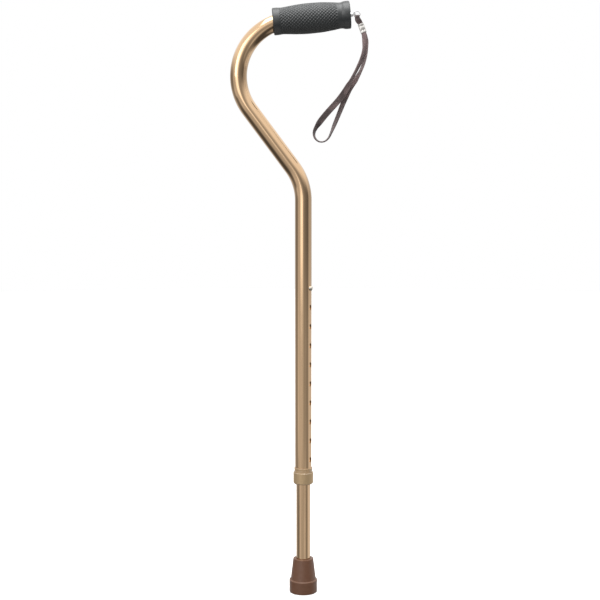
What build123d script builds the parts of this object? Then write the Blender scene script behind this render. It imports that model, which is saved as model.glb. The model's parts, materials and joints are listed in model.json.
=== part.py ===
from build123d import *
import os
from math import asin, cos, degrees, pi, radians, sin, tan

# Single point cane: a bent upper tube with an offset hand grip, a lower tube that slides inside it
# and is set by a snap button, a locking collar that stops the rattle, and a rubber tip.
# Millimetres, +Z up. The origin is the centre of the tip's underside, on the shaft's axis.
# The grip lies in the XZ plane and points along +X.

# ---------------------------------------------------------------- driving dimensions

# Tubes
upper_od = 22.2
upper_wall = 1.2
lower_wall = 1.25
slide_gap = 0.375            # radial play of the lower tube in the upper one

# Height setting
hole_count = 10
hole_pitch = 25.4
hole_diameter = 6.6
hole_azimuth = -31.0         # degrees from +X, so the row faces right and a little forward
lowest_hole_above_end = 23.7
lower_tube_above_button = 25.0

# Heights along the shaft
tip_height = 45.5
exposed_lower_tube = 101.3   # from the tip's rim to the collar's mouth, shortest setting
straight_above_button = 115.5

# Bends, in the XZ plane
bend_radius = 73.0
slant_angle = 36.7           # of the offset run, from vertical
slant_run = 93.6
grip_tilt = 5.0              # of the tube's last run, from horizontal
grip_run = 77.7

# Hand grip
grip_length = 101.3
grip_sleeve_tilt = 6.0
grip_wall = 5.7              # over the tube, at the necks
grip_crown = 2.7             # the palm swell, over the necks
grip_rim = 0.9               # the end flanges, over the necks
grip_flange = 6.0            # length of each end flange
grip_neck_at = 12.5          # from each end to the middle of its neck
grip_end_round = 1.4

# End plug and the strap's fittings
plug_length = 18.0
plug_head = 2.0
plug_taper_length = 1.5      # of the lead-in at the plug's inner end
plug_taper = 1.0
pin_shank_radius = 2.4
pin_end = 1.0                # of its thread past the nut
pin_boss_radius = 3.0
pin_boss_length = 3.5
tongue_thickness = 1.6
tongue_wall = 1.45           # round the eye
tongue_root = 0.5            # how deep it runs into the boss
ring_wire_radius = 0.7
ring_room = 1.1              # left in the ring's middle by the folded webbing
ring_play = 0.35             # round the wire, in the pin's eye
nut_flats = 8.0
nut_height = 4.0
webbing_thickness = 1.4
fold_play = 0.8              # of the folded webbing round the ring's wire
fold_half_width = 1.9        # where it is gathered in the ring
fold_drop = 9.6              # from the ring's wire to the crimp
fold_seam = 2.5              # from the crimp up to where the two layers part
fold_seam_radius = 0.15
fold_shoulder = 1.0          # of the gathered end, where it fills the crimp
strap_lean = 20.5            # degrees from vertical, of the folded end and its crimp
crimp_length = 12.0
crimp_wall = 0.7
crimp_corner = 1.1
strap_diameter = 3.2
strap_gap = 0.1              # between the loop's two ends, in the crimp
strap_lead = 5.0             # straight run out of the crimp

# Locking collar and bush
collar_height = 15.4
collar_wall = 1.0
collar_mouth_height = 1.7
collar_mouth_chamfer = 1.3
bush_wall = 1.1
bush_above_collar = 6.3
bush_ledge = 2.0
finger_length = 5.5
finger_slot = 1.2
finger_slots = 6
finger_root = 0.5            # left whole below the ledge
finger_taper = 0.6           # radial, towards the fingers' free ends
running_gap = 0.1            # radial, of a piece that turns or slides in its seat
clear_gap = 0.3              # between pieces that never touch
mouth_gap = 0.45
edge_break = 0.6             # the small chamfer on turned and moulded edges

# Rubber tip
tip_floor = 10.5
tip_washer_thickness = 1.5
tip_base_over_tube = 8.8     # radial, of the base over the lower tube
tip_base_height = 16.8
tip_lip = 0.4
tip_step_height = 1.6
tip_cone_over_tube = 7.2
tip_rim_over_tube = 3.9
tip_base_chamfer = 1.2
tip_rim_chamfer = 0.8
tip_washer_round = 0.4
tread_margin = 2.0           # plain rubber outside the outermost tread
tread_depth = 1.2
tread_width = 1.9
tread_count = 3

# Snap button and its spring
button_play = 0.1            # radial, in the holes
button_stand_out = 3.0
button_dome = 1.5
button_flange = 1.0          # both how far it stands out and how thick it is
flange_gap = 0.15            # inside the lower tube's bore
rivet_radius = 1.5
rivet_head = 0.6
rivet_head_over_shank = 0.8
spring_thickness = 0.6
spring_width = 7.0
spring_grip = 7.0            # of each leaf's upright end, above and below the button
spring_leg = 28.0            # height of the V below the upright ends
spring_bend = 1.6

# ---------------------------------------------------------------- derived sizes

upper_radius = upper_od / 2
upper_bore = upper_radius - upper_wall
lower_radius = upper_bore - slide_gap
lower_bore = lower_radius - lower_wall
lower_tube_bottom = tip_floor + tip_washer_thickness

collar_bottom = tip_height + exposed_lower_tube
finger_bottom = collar_bottom + collar_mouth_height
upper_tube_bottom = finger_bottom + finger_length + bush_ledge
lowest_hole = upper_tube_bottom + lowest_hole_above_end
button_height = lowest_hole + (hole_count - 1) * hole_pitch
lower_tube_top = button_height + lower_tube_above_button
straight_top = button_height + straight_above_button
collar_top = collar_bottom + collar_height
bush_top = collar_top + bush_above_collar
bush_radius = upper_radius + bush_wall
collar_bore = bush_radius + running_gap
collar_radius = collar_bore + collar_wall

button_radius = hole_diameter / 2 - button_play

# The hole row's own plane: its X runs outwards through the holes and its Z runs up the shaft.
row_direction = Vector(cos(radians(hole_azimuth)), sin(radians(hole_azimuth)), 0)
row_plane = Plane(origin=(0, 0, 0), x_dir=row_direction, z_dir=row_direction.cross(Vector(0, 0, 1)))


def radial_plane(height, radius):
    """A plane that faces out along the hole row, at a height and at a distance from the axis."""
    return Plane(
        origin=row_direction * radius + Vector(0, 0, height),
        x_dir=(0, 0, 1),
        z_dir=row_direction,
    )


def in_plane(angle):
    """A direction in the XZ plane, in degrees up from +X."""
    return Vector(cos(radians(angle)), 0, sin(radians(angle)))


# ---------------------------------------------------------------- the tube's path

with BuildLine(Plane.XZ) as tube_path:
    shaft_line = Line((0, upper_tube_bottom), (0, straight_top))
    lower_bend = JernArc(
        start=shaft_line @ 1, tangent=shaft_line % 1, radius=bend_radius, arc_size=slant_angle
    )
    slant_line = PolarLine(lower_bend @ 1, slant_run, direction=lower_bend % 1)
    upper_bend = JernArc(
        start=slant_line @ 1,
        tangent=slant_line % 1,
        radius=bend_radius,
        arc_size=grip_tilt - 90 - slant_angle,
    )
    grip_line = PolarLine(upper_bend @ 1, grip_run, direction=upper_bend % 1)

tube_end = grip_line @ 1
tube_out = in_plane(grip_tilt)
grip_face = tube_end + tube_out * plug_head

os.makedirs("parts", exist_ok=True)

# ---------------------------------------------------------------- upper tube

with BuildPart() as tube_envelope:
    with BuildSketch(Plane.XY.offset(upper_tube_bottom)):
        Circle(upper_radius)
    sweep(path=tube_path.line)

with BuildPart() as handle_tube:
    add(tube_envelope.part)
    with BuildSketch(Plane.XY.offset(upper_tube_bottom)):
        Circle(upper_bore)
    sweep(path=tube_path.line, mode=Mode.SUBTRACT)
    for step in range(hole_count):
        with BuildSketch(radial_plane(lowest_hole + step * hole_pitch, 0)):
            Circle(hole_diameter / 2)
        extrude(amount=2 * upper_radius, mode=Mode.SUBTRACT)
handle_tube.part.label = "handle_tube"
export_step(handle_tube.part, "parts/handle_tube.step")

# ---------------------------------------------------------------- hand grip

neck = upper_radius + grip_wall
grip_plane = Plane(origin=grip_face, x_dir=in_plane(grip_sleeve_tilt), z_dir=(0, -1, 0))

with BuildPart() as hand_grip:
    with BuildSketch(grip_plane):
        with BuildLine():
            outline = Spline(
                (-grip_length, neck + grip_rim),
                (grip_flange - grip_length, neck + grip_rim),
                (grip_neck_at - grip_length, neck),
                (-grip_length / 2, neck + grip_crown),
                (-grip_neck_at, neck),
                (-grip_flange, neck + grip_rim),
                (0, neck + grip_rim),
            )
            Polyline(outline @ 1, (0, 0), (-grip_length, 0), outline @ 0)
        make_face()
    revolve(axis=Axis(grip_plane.origin, grip_plane.x_dir))
    fillet(hand_grip.edges().filter_by(GeomType.CIRCLE), radius=grip_end_round)
    add(tube_envelope.part, mode=Mode.SUBTRACT)
    with BuildSketch(Plane(origin=tube_end, x_dir=(0, 1, 0), z_dir=tube_out)):
        Circle(upper_radius)
    extrude(amount=2 * plug_head, mode=Mode.SUBTRACT)
hand_grip.part.label = "hand_grip"
export_step(hand_grip.part, "parts/hand_grip.step")

# ---------------------------------------------------------------- end plug, pin and nut

# The pin's plane: X runs out along the grip's axis from its end face, and Y runs up.
pin_plane = Plane(origin=grip_face, x_dir=tube_out, z_dir=(0, -1, 0))
pin_axis = Axis(pin_plane.origin, pin_plane.x_dir)
tongue_plane = Plane(origin=grip_face, x_dir=tube_out, z_dir=pin_plane.y_dir)
nut_outer = nut_flats / 2 / cos(pi / 6)
eye_radius = ring_wire_radius + ring_play
tongue_half_width = eye_radius + tongue_wall
eye_at = pin_boss_length + eye_radius + ring_play
plug_inner_end = plug_head + plug_length
nut_plane = Plane(origin=grip_face - tube_out * plug_inner_end, x_dir=(0, 1, 0), z_dir=tube_out)

with BuildPart() as handle_end_plug:
    with BuildSketch(pin_plane):
        with BuildLine():
            Polyline(
                (0, pin_shank_radius),
                (0, upper_radius - edge_break),
                (-edge_break, upper_radius),
                (-plug_head, upper_radius),
                (-plug_head, upper_bore),
                (plug_taper_length - plug_inner_end, upper_bore),
                (-plug_inner_end, upper_bore - plug_taper),
                (-plug_inner_end, pin_shank_radius),
                close=True,
            )
        make_face()
    revolve(axis=pin_axis)
    with BuildSketch(nut_plane):
        RegularPolygon(radius=nut_outer, side_count=6)
    extrude(amount=nut_height, mode=Mode.SUBTRACT)
handle_end_plug.part.label = "handle_end_plug"
export_step(handle_end_plug.part, "parts/handle_end_plug.step")

with BuildPart() as pin_nut:
    with BuildSketch(nut_plane):
        RegularPolygon(radius=nut_outer, side_count=6)
        Circle(pin_shank_radius, mode=Mode.SUBTRACT)
    extrude(amount=nut_height)
pin_nut.part.label = "pin_nut"
export_step(pin_nut.part, "parts/pin_nut.step")

with BuildPart() as strap_pin:
    with BuildSketch(pin_plane):
        with BuildLine():
            Polyline(
                (-plug_inner_end - pin_end, 0),
                (-plug_inner_end - pin_end, pin_shank_radius - edge_break),
                (-plug_inner_end - pin_end + edge_break, pin_shank_radius),
                (0, pin_shank_radius),
                (0, pin_boss_radius),
                (pin_boss_length - edge_break, pin_boss_radius),
                (pin_boss_length, pin_boss_radius - edge_break),
                (pin_boss_length, 0),
                close=True,
            )
        make_face()
    revolve(axis=pin_axis)
    with BuildSketch(tongue_plane.offset(-tongue_thickness / 2)):
        with Locations((eye_at, 0)):
            Rectangle(
                eye_at - pin_boss_length + tongue_root,
                2 * tongue_half_width,
                align=(Align.MAX, Align.CENTER),
            )
        with Locations((eye_at, 0)):
            Circle(tongue_half_width)
            Circle(eye_radius, mode=Mode.SUBTRACT)
    extrude(amount=tongue_thickness)
strap_pin.part.label = "strap_pin"
export_step(strap_pin.part, "parts/strap_pin.step")

# ---------------------------------------------------------------- ring

# The ring is as large as the folded webbing needs, to the middle of its wire.
fold_inner = ring_wire_radius + fold_play
fold_outer = fold_inner + webbing_thickness
ring_radius = fold_outer + ring_room
ring_centre = grip_face + tube_out * (eye_at + ring_radius)

with BuildPart() as strap_ring:
    with BuildSketch(Plane(origin=ring_centre, x_dir=tube_out, z_dir=pin_plane.y_dir)):
        with Locations((ring_radius, 0)):
            Circle(ring_wire_radius)
    revolve(axis=Axis(ring_centre, (0, 1, 0)))
strap_ring.part.label = "strap_ring"
export_step(strap_ring.part, "parts/strap_ring.step")

# ---------------------------------------------------------------- folded strap end and crimp

strap_down = in_plane(strap_lean - 90)
strap_across = in_plane(strap_lean)
fold_plane = Plane(origin=ring_centre, x_dir=(0, 1, 0), z_dir=strap_across)
face_plane = Plane(origin=ring_centre, x_dir=strap_across, z_dir=(0, -1, 0))
wire_at = -ring_radius
crimp_top = wire_at - fold_drop
crimp_middle = crimp_top - crimp_length / 2
strap_spacing = strap_diameter + strap_gap
crimp_inner_width = strap_spacing + strap_diameter

with BuildPart() as strap_end_loop:
    with BuildSketch(fold_plane) as fold_outside:
        with Locations((0, wire_at)):
            Circle(fold_outer)
        with Locations((0, crimp_top)):
            Rectangle(strap_diameter, fold_shoulder, align=(Align.CENTER, Align.MIN))
        make_hull(fold_outside.edges())
        with Locations((0, crimp_top)):
            Rectangle(strap_diameter, crimp_length / 2, align=(Align.CENTER, Align.MAX))
    extrude(amount=crimp_inner_width / 2, both=True)
    with BuildSketch(fold_plane) as fold_inside:
        with Locations((0, wire_at)):
            Circle(fold_inner)
        with Locations((0, crimp_top + fold_seam)):
            Circle(fold_seam_radius)
        make_hull(fold_inside.edges())
    extrude(amount=crimp_inner_width, both=True, mode=Mode.SUBTRACT)
    with BuildSketch(face_plane):
        with BuildLine():
            Polyline(
                (-fold_half_width, 0),
                (fold_half_width, 0),
                (fold_half_width, wire_at + ring_wire_radius),
                (crimp_inner_width / 2, crimp_top + fold_shoulder),
                (crimp_inner_width / 2, crimp_middle),
                (-crimp_inner_width / 2, crimp_middle),
                (-crimp_inner_width / 2, crimp_top + fold_shoulder),
                (-fold_half_width, wire_at + ring_wire_radius),
                close=True,
            )
        make_face()
    extrude(amount=2 * fold_outer, both=True, mode=Mode.INTERSECT)
strap_end_loop.part.label = "strap_end_loop"
export_step(strap_end_loop.part, "parts/strap_end_loop.step")

crimp_plane = Plane(
    origin=ring_centre + strap_down * (-crimp_top), x_dir=strap_across, z_dir=strap_down
)

with BuildPart() as strap_crimp:
    with BuildSketch(crimp_plane):
        RectangleRounded(
            crimp_inner_width + 2 * crimp_wall, strap_diameter + 2 * crimp_wall, crimp_corner
        )
        Rectangle(crimp_inner_width, strap_diameter, mode=Mode.SUBTRACT)
    extrude(amount=crimp_length)
strap_crimp.part.label = "strap_crimp"
export_step(strap_crimp.part, "parts/strap_crimp.step")

# ---------------------------------------------------------------- wrist strap

# The loop hangs from the crimp in the XZ plane. Its route is a list of (x, z) points, measured
# from the ring's centre.
strap_start = ring_centre + strap_down * (-crimp_middle)
strap_turn = strap_start + strap_down * (crimp_length / 2 + strap_lead)
half_spacing = strap_across * (strap_spacing / 2)
strap_route = [
    (9.0, -45.0),
    (6.1, -57.6),
    (0.0, -70.9),
    (-8.3, -84.8),
    (-17.0, -98.8),
    (-26.6, -112.8),
    (-36.4, -126.1),
    (-45.4, -137.7),
    (-52.4, -147.5),
    (-56.4, -155.6),
    (-55.5, -163.4),
    (-49.8, -168.6),
    (-42.1, -168.4),
    (-36.5, -163.2),
    (-33.0, -155.1),
    (-29.0, -144.7),
    (-24.6, -133.9),
    (-18.8, -121.1),
    (-12.0, -107.9),
    (-5.1, -94.8),
    (1.6, -81.5),
    (7.4, -67.7),
    (11.2, -54.2),
    (13.0, -42.0),
]
strap_points = [strap_start - half_spacing, strap_turn - half_spacing]
strap_points += [ring_centre + Vector(x, 0, z) for x, z in strap_route]
strap_points += [strap_turn + half_spacing, strap_start + half_spacing]

strap_runs = [after - before for before, after in zip(strap_points, strap_points[1:])]
strap_radii = []
for run, next_run in zip(strap_runs, strap_runs[1:]):
    half_turn = radians(run.get_angle(next_run)) / 2
    strap_radii.append(0.45 * min(run.length, next_run.length) / tan(half_turn))

with BuildLine() as strap_line:
    FilletPolyline(*strap_points, radius=strap_radii)

with BuildPart() as wrist_strap:
    with BuildSketch(Plane(origin=strap_points[0], x_dir=(0, 1, 0), z_dir=strap_down)):
        Circle(strap_diameter / 2)
    sweep(path=strap_line.line)
wrist_strap.part.label = "wrist_strap"
export_step(wrist_strap.part, "parts/wrist_strap.step")

print("strap radii, mm:", [round(radius, 1) for radius in strap_radii])
print("strap runs, mm:", [round(run.length, 1) for run in strap_runs])
strap_length = sum(edge.length for edge in strap_line.edges())
strap_tube_volume = pi * strap_diameter**2 / 4 * strap_length
print("strap length, mm:", round(strap_length, 1))
print("strap volume over section times length:", round(wrist_strap.part.volume / strap_tube_volume, 5))

# ---------------------------------------------------------------- collet bush and locking collar

finger_bore = lower_radius + running_gap
finger_top = upper_tube_bottom - bush_ledge
finger_outer = upper_radius - running_gap
finger_tip_outer = finger_outer - finger_taper

with BuildPart() as collet_bush:
    with BuildSketch(Plane.XZ):
        with BuildLine():
            Polyline(
                (finger_bore, finger_bottom + clear_gap),
                (finger_tip_outer, finger_bottom + clear_gap),
                (finger_outer, finger_top),
                (bush_radius, finger_top),
                (bush_radius, bush_top - edge_break),
                (bush_radius - edge_break, bush_top),
                (upper_radius, bush_top),
                (upper_radius, upper_tube_bottom),
                (finger_bore, upper_tube_bottom),
                close=True,
            )
        make_face()
    revolve(axis=Axis.Z)
    with BuildSketch(Plane.XY.offset(finger_bottom)):
        with PolarLocations(0, finger_slots):
            Rectangle(2 * bush_radius, finger_slot, align=(Align.MIN, Align.CENTER))
    extrude(amount=finger_length - finger_root, mode=Mode.SUBTRACT)
collet_bush.part.label = "collet_bush"
export_step(collet_bush.part, "parts/collet_bush.step")

with BuildPart() as locking_collar:
    with BuildSketch(Plane.XZ):
        with BuildLine():
            Polyline(
                (lower_radius + mouth_gap, collar_bottom),
                (collar_radius - collar_mouth_chamfer, collar_bottom),
                (collar_radius, collar_bottom + collar_mouth_chamfer),
                (collar_radius, collar_top - edge_break),
                (collar_radius - edge_break, collar_top),
                (collar_bore, collar_top),
                (collar_bore, finger_top - clear_gap),
                (finger_outer + clear_gap, finger_top - clear_gap),
                (finger_tip_outer + clear_gap, finger_bottom),
                (lower_radius + mouth_gap, finger_bottom),
                close=True,
            )
        make_face()
    revolve(axis=Axis.Z)
locking_collar.part.label = "locking_collar"
export_step(locking_collar.part, "parts/locking_collar.step")

# ---------------------------------------------------------------- lower tube

with BuildPart() as lower_tube:
    with BuildSketch(Plane.XY.offset(lower_tube_bottom)):
        Circle(lower_radius)
        Circle(lower_bore, mode=Mode.SUBTRACT)
    extrude(amount=lower_tube_top - lower_tube_bottom)
    with BuildSketch(radial_plane(button_height, 0)):
        Circle(hole_diameter / 2)
    extrude(amount=2 * lower_radius, mode=Mode.SUBTRACT)
lower_tube.part.label = "lower_tube"
export_step(lower_tube.part, "parts/lower_tube.step")

# ---------------------------------------------------------------- rubber tip and its washer

tip_base_radius = lower_radius + tip_base_over_tube
tip_lip_radius = tip_base_radius + tip_lip
tip_rim_radius = lower_radius + tip_rim_over_tube
tread_pitch = (tip_base_radius - tread_margin) / (tread_count + 0.5)
tread_start = tread_pitch / 2

with BuildPart() as rubber_tip:
    with BuildSketch(Plane.XZ):
        with BuildLine():
            Polyline(
                (0, 0),
                (tip_base_radius - tip_base_chamfer, 0),
                (tip_base_radius, tip_base_chamfer),
                (tip_lip_radius, tip_base_height - tip_rim_chamfer),
                (tip_lip_radius - tip_rim_chamfer, tip_base_height),
                (lower_radius + tip_cone_over_tube, tip_base_height + tip_step_height),
                (tip_rim_radius, tip_height - tip_rim_chamfer),
                (tip_rim_radius - tip_rim_chamfer, tip_height),
                (lower_radius + tip_rim_chamfer, tip_height),
                (lower_radius, tip_height - tip_rim_chamfer),
                (lower_radius, tip_floor),
                (0, tip_floor),
                close=True,
            )
        make_face()
    revolve(axis=Axis.Z)
    with BuildSketch():
        for tread in reversed(range(tread_count)):
            Circle(tread_start + tread * tread_pitch + tread_width)
            Circle(tread_start + tread * tread_pitch, mode=Mode.SUBTRACT)
    extrude(amount=tread_depth, mode=Mode.SUBTRACT)
rubber_tip.part.label = "rubber_tip"
export_step(rubber_tip.part, "parts/rubber_tip.step")

with BuildPart() as tip_washer:
    with BuildSketch(Plane.XY.offset(tip_floor)):
        Circle(lower_radius)
    extrude(amount=tip_washer_thickness)
    fillet(tip_washer.edges().filter_by(GeomType.CIRCLE), radius=tip_washer_round)
tip_washer.part.label = "tip_washer"
export_step(tip_washer.part, "parts/tip_washer.step")

# ---------------------------------------------------------------- snap button and its spring

button_top = upper_radius + button_stand_out
dome_radius = (button_radius**2 + button_dome**2) / (2 * button_dome)
dome_angle = degrees(asin(button_radius / dome_radius))
flange_radius = button_radius + button_flange
flange_out = ((lower_bore - flange_gap) ** 2 - flange_radius**2) ** 0.5
flange_in = flange_out - button_flange
leaf_out = flange_in - running_gap
leaf_in = leaf_out - spring_thickness
rivet_face = leaf_in - running_gap
rivet_head_radius = rivet_radius + rivet_head_over_shank
button_plane = Plane(origin=(0, 0, button_height), x_dir=row_direction, z_dir=row_plane.z_dir)

with BuildPart() as snap_button:
    with BuildSketch(button_plane):
        with BuildLine():
            Polyline(
                (button_top, 0),
                (rivet_face - rivet_head, 0),
                (rivet_face - rivet_head, rivet_head_radius),
                (rivet_face, rivet_head_radius),
                (rivet_face, rivet_radius),
                (flange_in, rivet_radius),
                (flange_in, flange_radius),
                (flange_out, flange_radius),
                (flange_out, button_radius),
                (button_top - button_dome, button_radius),
            )
            CenterArc((button_top - dome_radius, 0), dome_radius, 0, dome_angle)
        make_face()
    revolve(axis=Axis(button_plane.origin, button_plane.x_dir))
snap_button.part.label = "snap_button"
export_step(snap_button.part, "parts/snap_button.step")

front_leaf = leaf_out - spring_thickness / 2
back_leaf = spring_thickness / 2 + clear_gap - (lower_bore**2 - (spring_width / 2) ** 2) ** 0.5
spring_top = button_height + spring_grip
spring_shoulder = button_height - spring_grip

with BuildLine(row_plane) as spring_path:
    FilletPolyline(
        (front_leaf, spring_top),
        (front_leaf, spring_shoulder),
        ((front_leaf + back_leaf) / 2, spring_shoulder - spring_leg),
        (back_leaf, spring_shoulder),
        (back_leaf, spring_top),
        radius=[4 * spring_bend, spring_bend, 4 * spring_bend],
    )

with BuildPart() as button_spring:
    with BuildSketch(Plane(origin=spring_path.line @ 0, x_dir=row_direction, z_dir=(0, 0, -1))):
        Rectangle(spring_thickness, spring_width)
    sweep(path=spring_path.line)
    with BuildSketch(radial_plane(button_height, rivet_face)):
        Circle(rivet_radius + running_gap)
    extrude(amount=flange_in - rivet_face, mode=Mode.SUBTRACT)
button_spring.part.label = "button_spring"
export_step(button_spring.part, "parts/button_spring.step")
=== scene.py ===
"""The looks of a single point cane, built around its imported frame.

Metres, +Z up, with the origin under the middle of the rubber tip and the hand grip pointing along +X.
Each sub-assembly is a class that builds its meshes and dresses them. Each finish is a small frozen
class that makes one material out of the shared shader groups.
"""

from __future__ import annotations

import json
import logging
import math
from dataclasses import dataclass, field
from enum import Enum
from typing import Any, Callable, Sequence

import bmesh
import bpy
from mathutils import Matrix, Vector

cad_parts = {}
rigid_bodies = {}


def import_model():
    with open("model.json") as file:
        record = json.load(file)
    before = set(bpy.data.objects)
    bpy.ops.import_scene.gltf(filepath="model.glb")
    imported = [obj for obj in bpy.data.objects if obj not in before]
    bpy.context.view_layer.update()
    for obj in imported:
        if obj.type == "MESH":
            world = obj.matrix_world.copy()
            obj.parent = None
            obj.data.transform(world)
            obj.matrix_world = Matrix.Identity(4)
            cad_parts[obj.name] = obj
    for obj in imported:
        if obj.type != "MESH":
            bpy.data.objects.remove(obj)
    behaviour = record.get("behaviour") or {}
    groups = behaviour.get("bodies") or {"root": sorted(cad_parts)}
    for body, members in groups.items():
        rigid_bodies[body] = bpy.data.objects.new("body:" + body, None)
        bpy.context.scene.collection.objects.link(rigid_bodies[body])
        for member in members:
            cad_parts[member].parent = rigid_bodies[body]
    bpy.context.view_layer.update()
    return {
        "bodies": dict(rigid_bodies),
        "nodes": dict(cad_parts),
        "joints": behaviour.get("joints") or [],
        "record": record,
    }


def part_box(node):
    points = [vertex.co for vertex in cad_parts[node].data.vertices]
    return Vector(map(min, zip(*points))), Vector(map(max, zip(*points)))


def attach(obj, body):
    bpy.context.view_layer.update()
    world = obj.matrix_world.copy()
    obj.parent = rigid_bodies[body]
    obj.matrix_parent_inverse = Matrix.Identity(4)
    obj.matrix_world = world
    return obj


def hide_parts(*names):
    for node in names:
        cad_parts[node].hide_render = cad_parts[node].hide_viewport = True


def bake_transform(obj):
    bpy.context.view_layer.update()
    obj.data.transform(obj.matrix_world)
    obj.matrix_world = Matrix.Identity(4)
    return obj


log = logging.getLogger("cane")

Colour = tuple[float, float, float]
Value = Any

SURFACE_UV = "surface"
AROUND = "around"
ALONG = "along"
WORN = "worn"
HOLD = 0.0004
FULL_TURN = 2 * math.pi
HOLE_AZIMUTH = math.radians(-31.0)
RIM_LIP = 0.0003
X_AXIS = Vector((1, 0, 0))
Y_AXIS = Vector((0, 1, 0))
Z_AXIS = Vector((0, 0, 1))


class Body(Enum):
    """The moving bodies that a piece can ride on."""

    HANDLE = "handle"
    COLLAR = "collar"
    SHAFT = "shaft"
    BUTTON = "button"
    RING = "ring"
    STRAP = "strap"


class Slot(Enum):
    """The record's material slots."""

    TUBE = "bronze_tube"
    COLLAR = "collar_bronze"
    BUSH = "bush_plastic"
    GRIP = "grip_rubber"
    PLASTIC = "black_plastic"
    CHROME = "bright_chrome"
    STEEL = "plain_steel"
    CRIMP = "crimp_metal"
    WEBBING = "strap_webbing"
    BUTTON = "button_steel"
    SPRING = "spring_steel"
    TIP = "tip_rubber"


# ---------------------------------------------------------------- node graphs


class Graph:
    """A node tree with short ways to add, set and join its nodes."""

    def __init__(self, tree: bpy.types.NodeTree) -> None:
        """Keeps the tree that the nodes go into."""
        self.tree = tree

    def add(self, kind: str, **settings: Any) -> bpy.types.Node:
        """Adds a node.

        Args:
            kind: The node's type name.
            **settings: Properties to set on it.

        Returns:
            The new node.
        """
        node = self.tree.nodes.new(kind)
        for key, value in settings.items():
            setattr(node, key, value)
        return node

    def feed(self, socket: bpy.types.NodeSocket, value: Value) -> None:
        """Joins an output to an input, or sets the input's own value.

        Args:
            socket: The input.
            value: An output socket, a number, or a colour.
        """
        if isinstance(value, bpy.types.NodeSocket):
            self.tree.links.new(value, socket)
        elif value is not None:
            socket.default_value = value

    def math(self, operation: str, a: Value, b: Value = None, c: Value = None) -> bpy.types.NodeSocket:
        """Adds a Math node.

        Args:
            operation: What it works out.
            a: The first number or output.
            b: The second, if it takes one.
            c: The third, if it takes one.

        Returns:
            Its result.
        """
        node = self.add("ShaderNodeMath", operation=operation)
        for socket, value in zip(node.inputs, (a, b, c)):
            self.feed(socket, value)
        return node.outputs[0]

    def ramp(self, value: Value, low: float, high: float, smooth: bool = True) -> bpy.types.NodeSocket:
        """Maps low to 0 and high to 1, held at both ends.

        Args:
            value: The number or output to map.
            low: What becomes 0.
            high: What becomes 1.
            smooth: Whether the change eases in and out.

        Returns:
            The mapped value.
        """
        kind = "SMOOTHSTEP" if smooth else "LINEAR"
        node = self.add("ShaderNodeMapRange", interpolation_type=kind)
        self.feed(node.inputs["Value"], value)
        self.feed(node.inputs["From Min"], low)
        self.feed(node.inputs["From Max"], high)
        return node.outputs["Result"]

    def blend(self, share: Value, a: Value, b: Value) -> bpy.types.NodeSocket:
        """Mixes two colours.

        Args:
            share: How much of b there is, from 0 to 1.
            a: The first colour or output.
            b: The second.

        Returns:
            The mixed colour.
        """
        node = self.add("ShaderNodeMix", data_type="RGBA")
        self.feed(node.inputs["Factor"], share)
        self.feed(node.inputs["A"], rgba(a))
        self.feed(node.inputs["B"], rgba(b))
        return node.outputs["Result"]

    def noise(self, vector: Value, scale: float, detail: float = 2.0) -> bpy.types.NodeSocket:
        """Adds a noise texture.

        Args:
            vector: Where it is read.
            scale: Features per metre.
            detail: How many finer layers it has.

        Returns:
            Its value, about 0.5 on average.
        """
        node = self.add("ShaderNodeTexNoise")
        self.feed(node.inputs["Vector"], vector)
        self.feed(node.inputs["Scale"], scale)
        self.feed(node.inputs["Detail"], detail)
        return node.outputs[0]

    def scaled(self, vector: Value, scale: Sequence[float]) -> bpy.types.NodeSocket:
        """Stretches a vector.

        Args:
            vector: The vector.
            scale: Its three factors.

        Returns:
            The stretched vector.
        """
        node = self.add("ShaderNodeVectorMath", operation="MULTIPLY")
        self.feed(node.inputs[0], vector)
        self.feed(node.inputs[1], tuple(scale))
        return node.outputs[0]

    def surface(self) -> bpy.types.NodeSocket:
        """Gives the place on a piece's own surface map, across and along it."""
        return self.add("ShaderNodeUVMap", uv_map=SURFACE_UV).outputs[0]

    def place(self) -> bpy.types.NodeSocket:
        """Gives the place in metres."""
        return self.add("ShaderNodeTexCoord").outputs["Object"]

    def parts(self, vector: Value) -> bpy.types.bpy_prop_collection:
        """Splits a vector and gives its three numbers."""
        node = self.add("ShaderNodeSeparateXYZ")
        self.feed(node.inputs[0], vector)
        return node.outputs

    def vector(self, x: Value = None, y: Value = None, z: Value = None) -> bpy.types.NodeSocket:
        """Joins three numbers, 0 where one is left out, into a vector."""
        node = self.add("ShaderNodeCombineXYZ")
        for socket, value in zip(node.inputs, (x, y, z)):
            self.feed(socket, value)
        return node.outputs[0]

    def group(self, tree: bpy.types.NodeTree, **inputs: Value) -> bpy.types.Node:
        """Places a node group.

        Args:
            tree: The group.
            **inputs: Values of its inputs, with _ for each space in their names.

        Returns:
            The group's node.
        """
        return self.set(self.add("ShaderNodeGroup", node_tree=tree), **inputs)

    def set(self, node: bpy.types.Node, **inputs: Value) -> bpy.types.Node:
        """Feeds several of a node's inputs.

        Args:
            node: The node.
            **inputs: Values of its inputs, with _ for each space in their names.

        Returns:
            The node.
        """
        for key, value in inputs.items():
            self.feed(node.inputs[key.replace("_", " ")], value)
        return node


def rgba(value: Value) -> Value:
    """Adds an opaque alpha to a plain colour and leaves anything else alone."""
    return (*value, 1.0) if isinstance(value, tuple) and len(value) == 3 else value


# ---------------------------------------------------------------- shared shader effects


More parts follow.
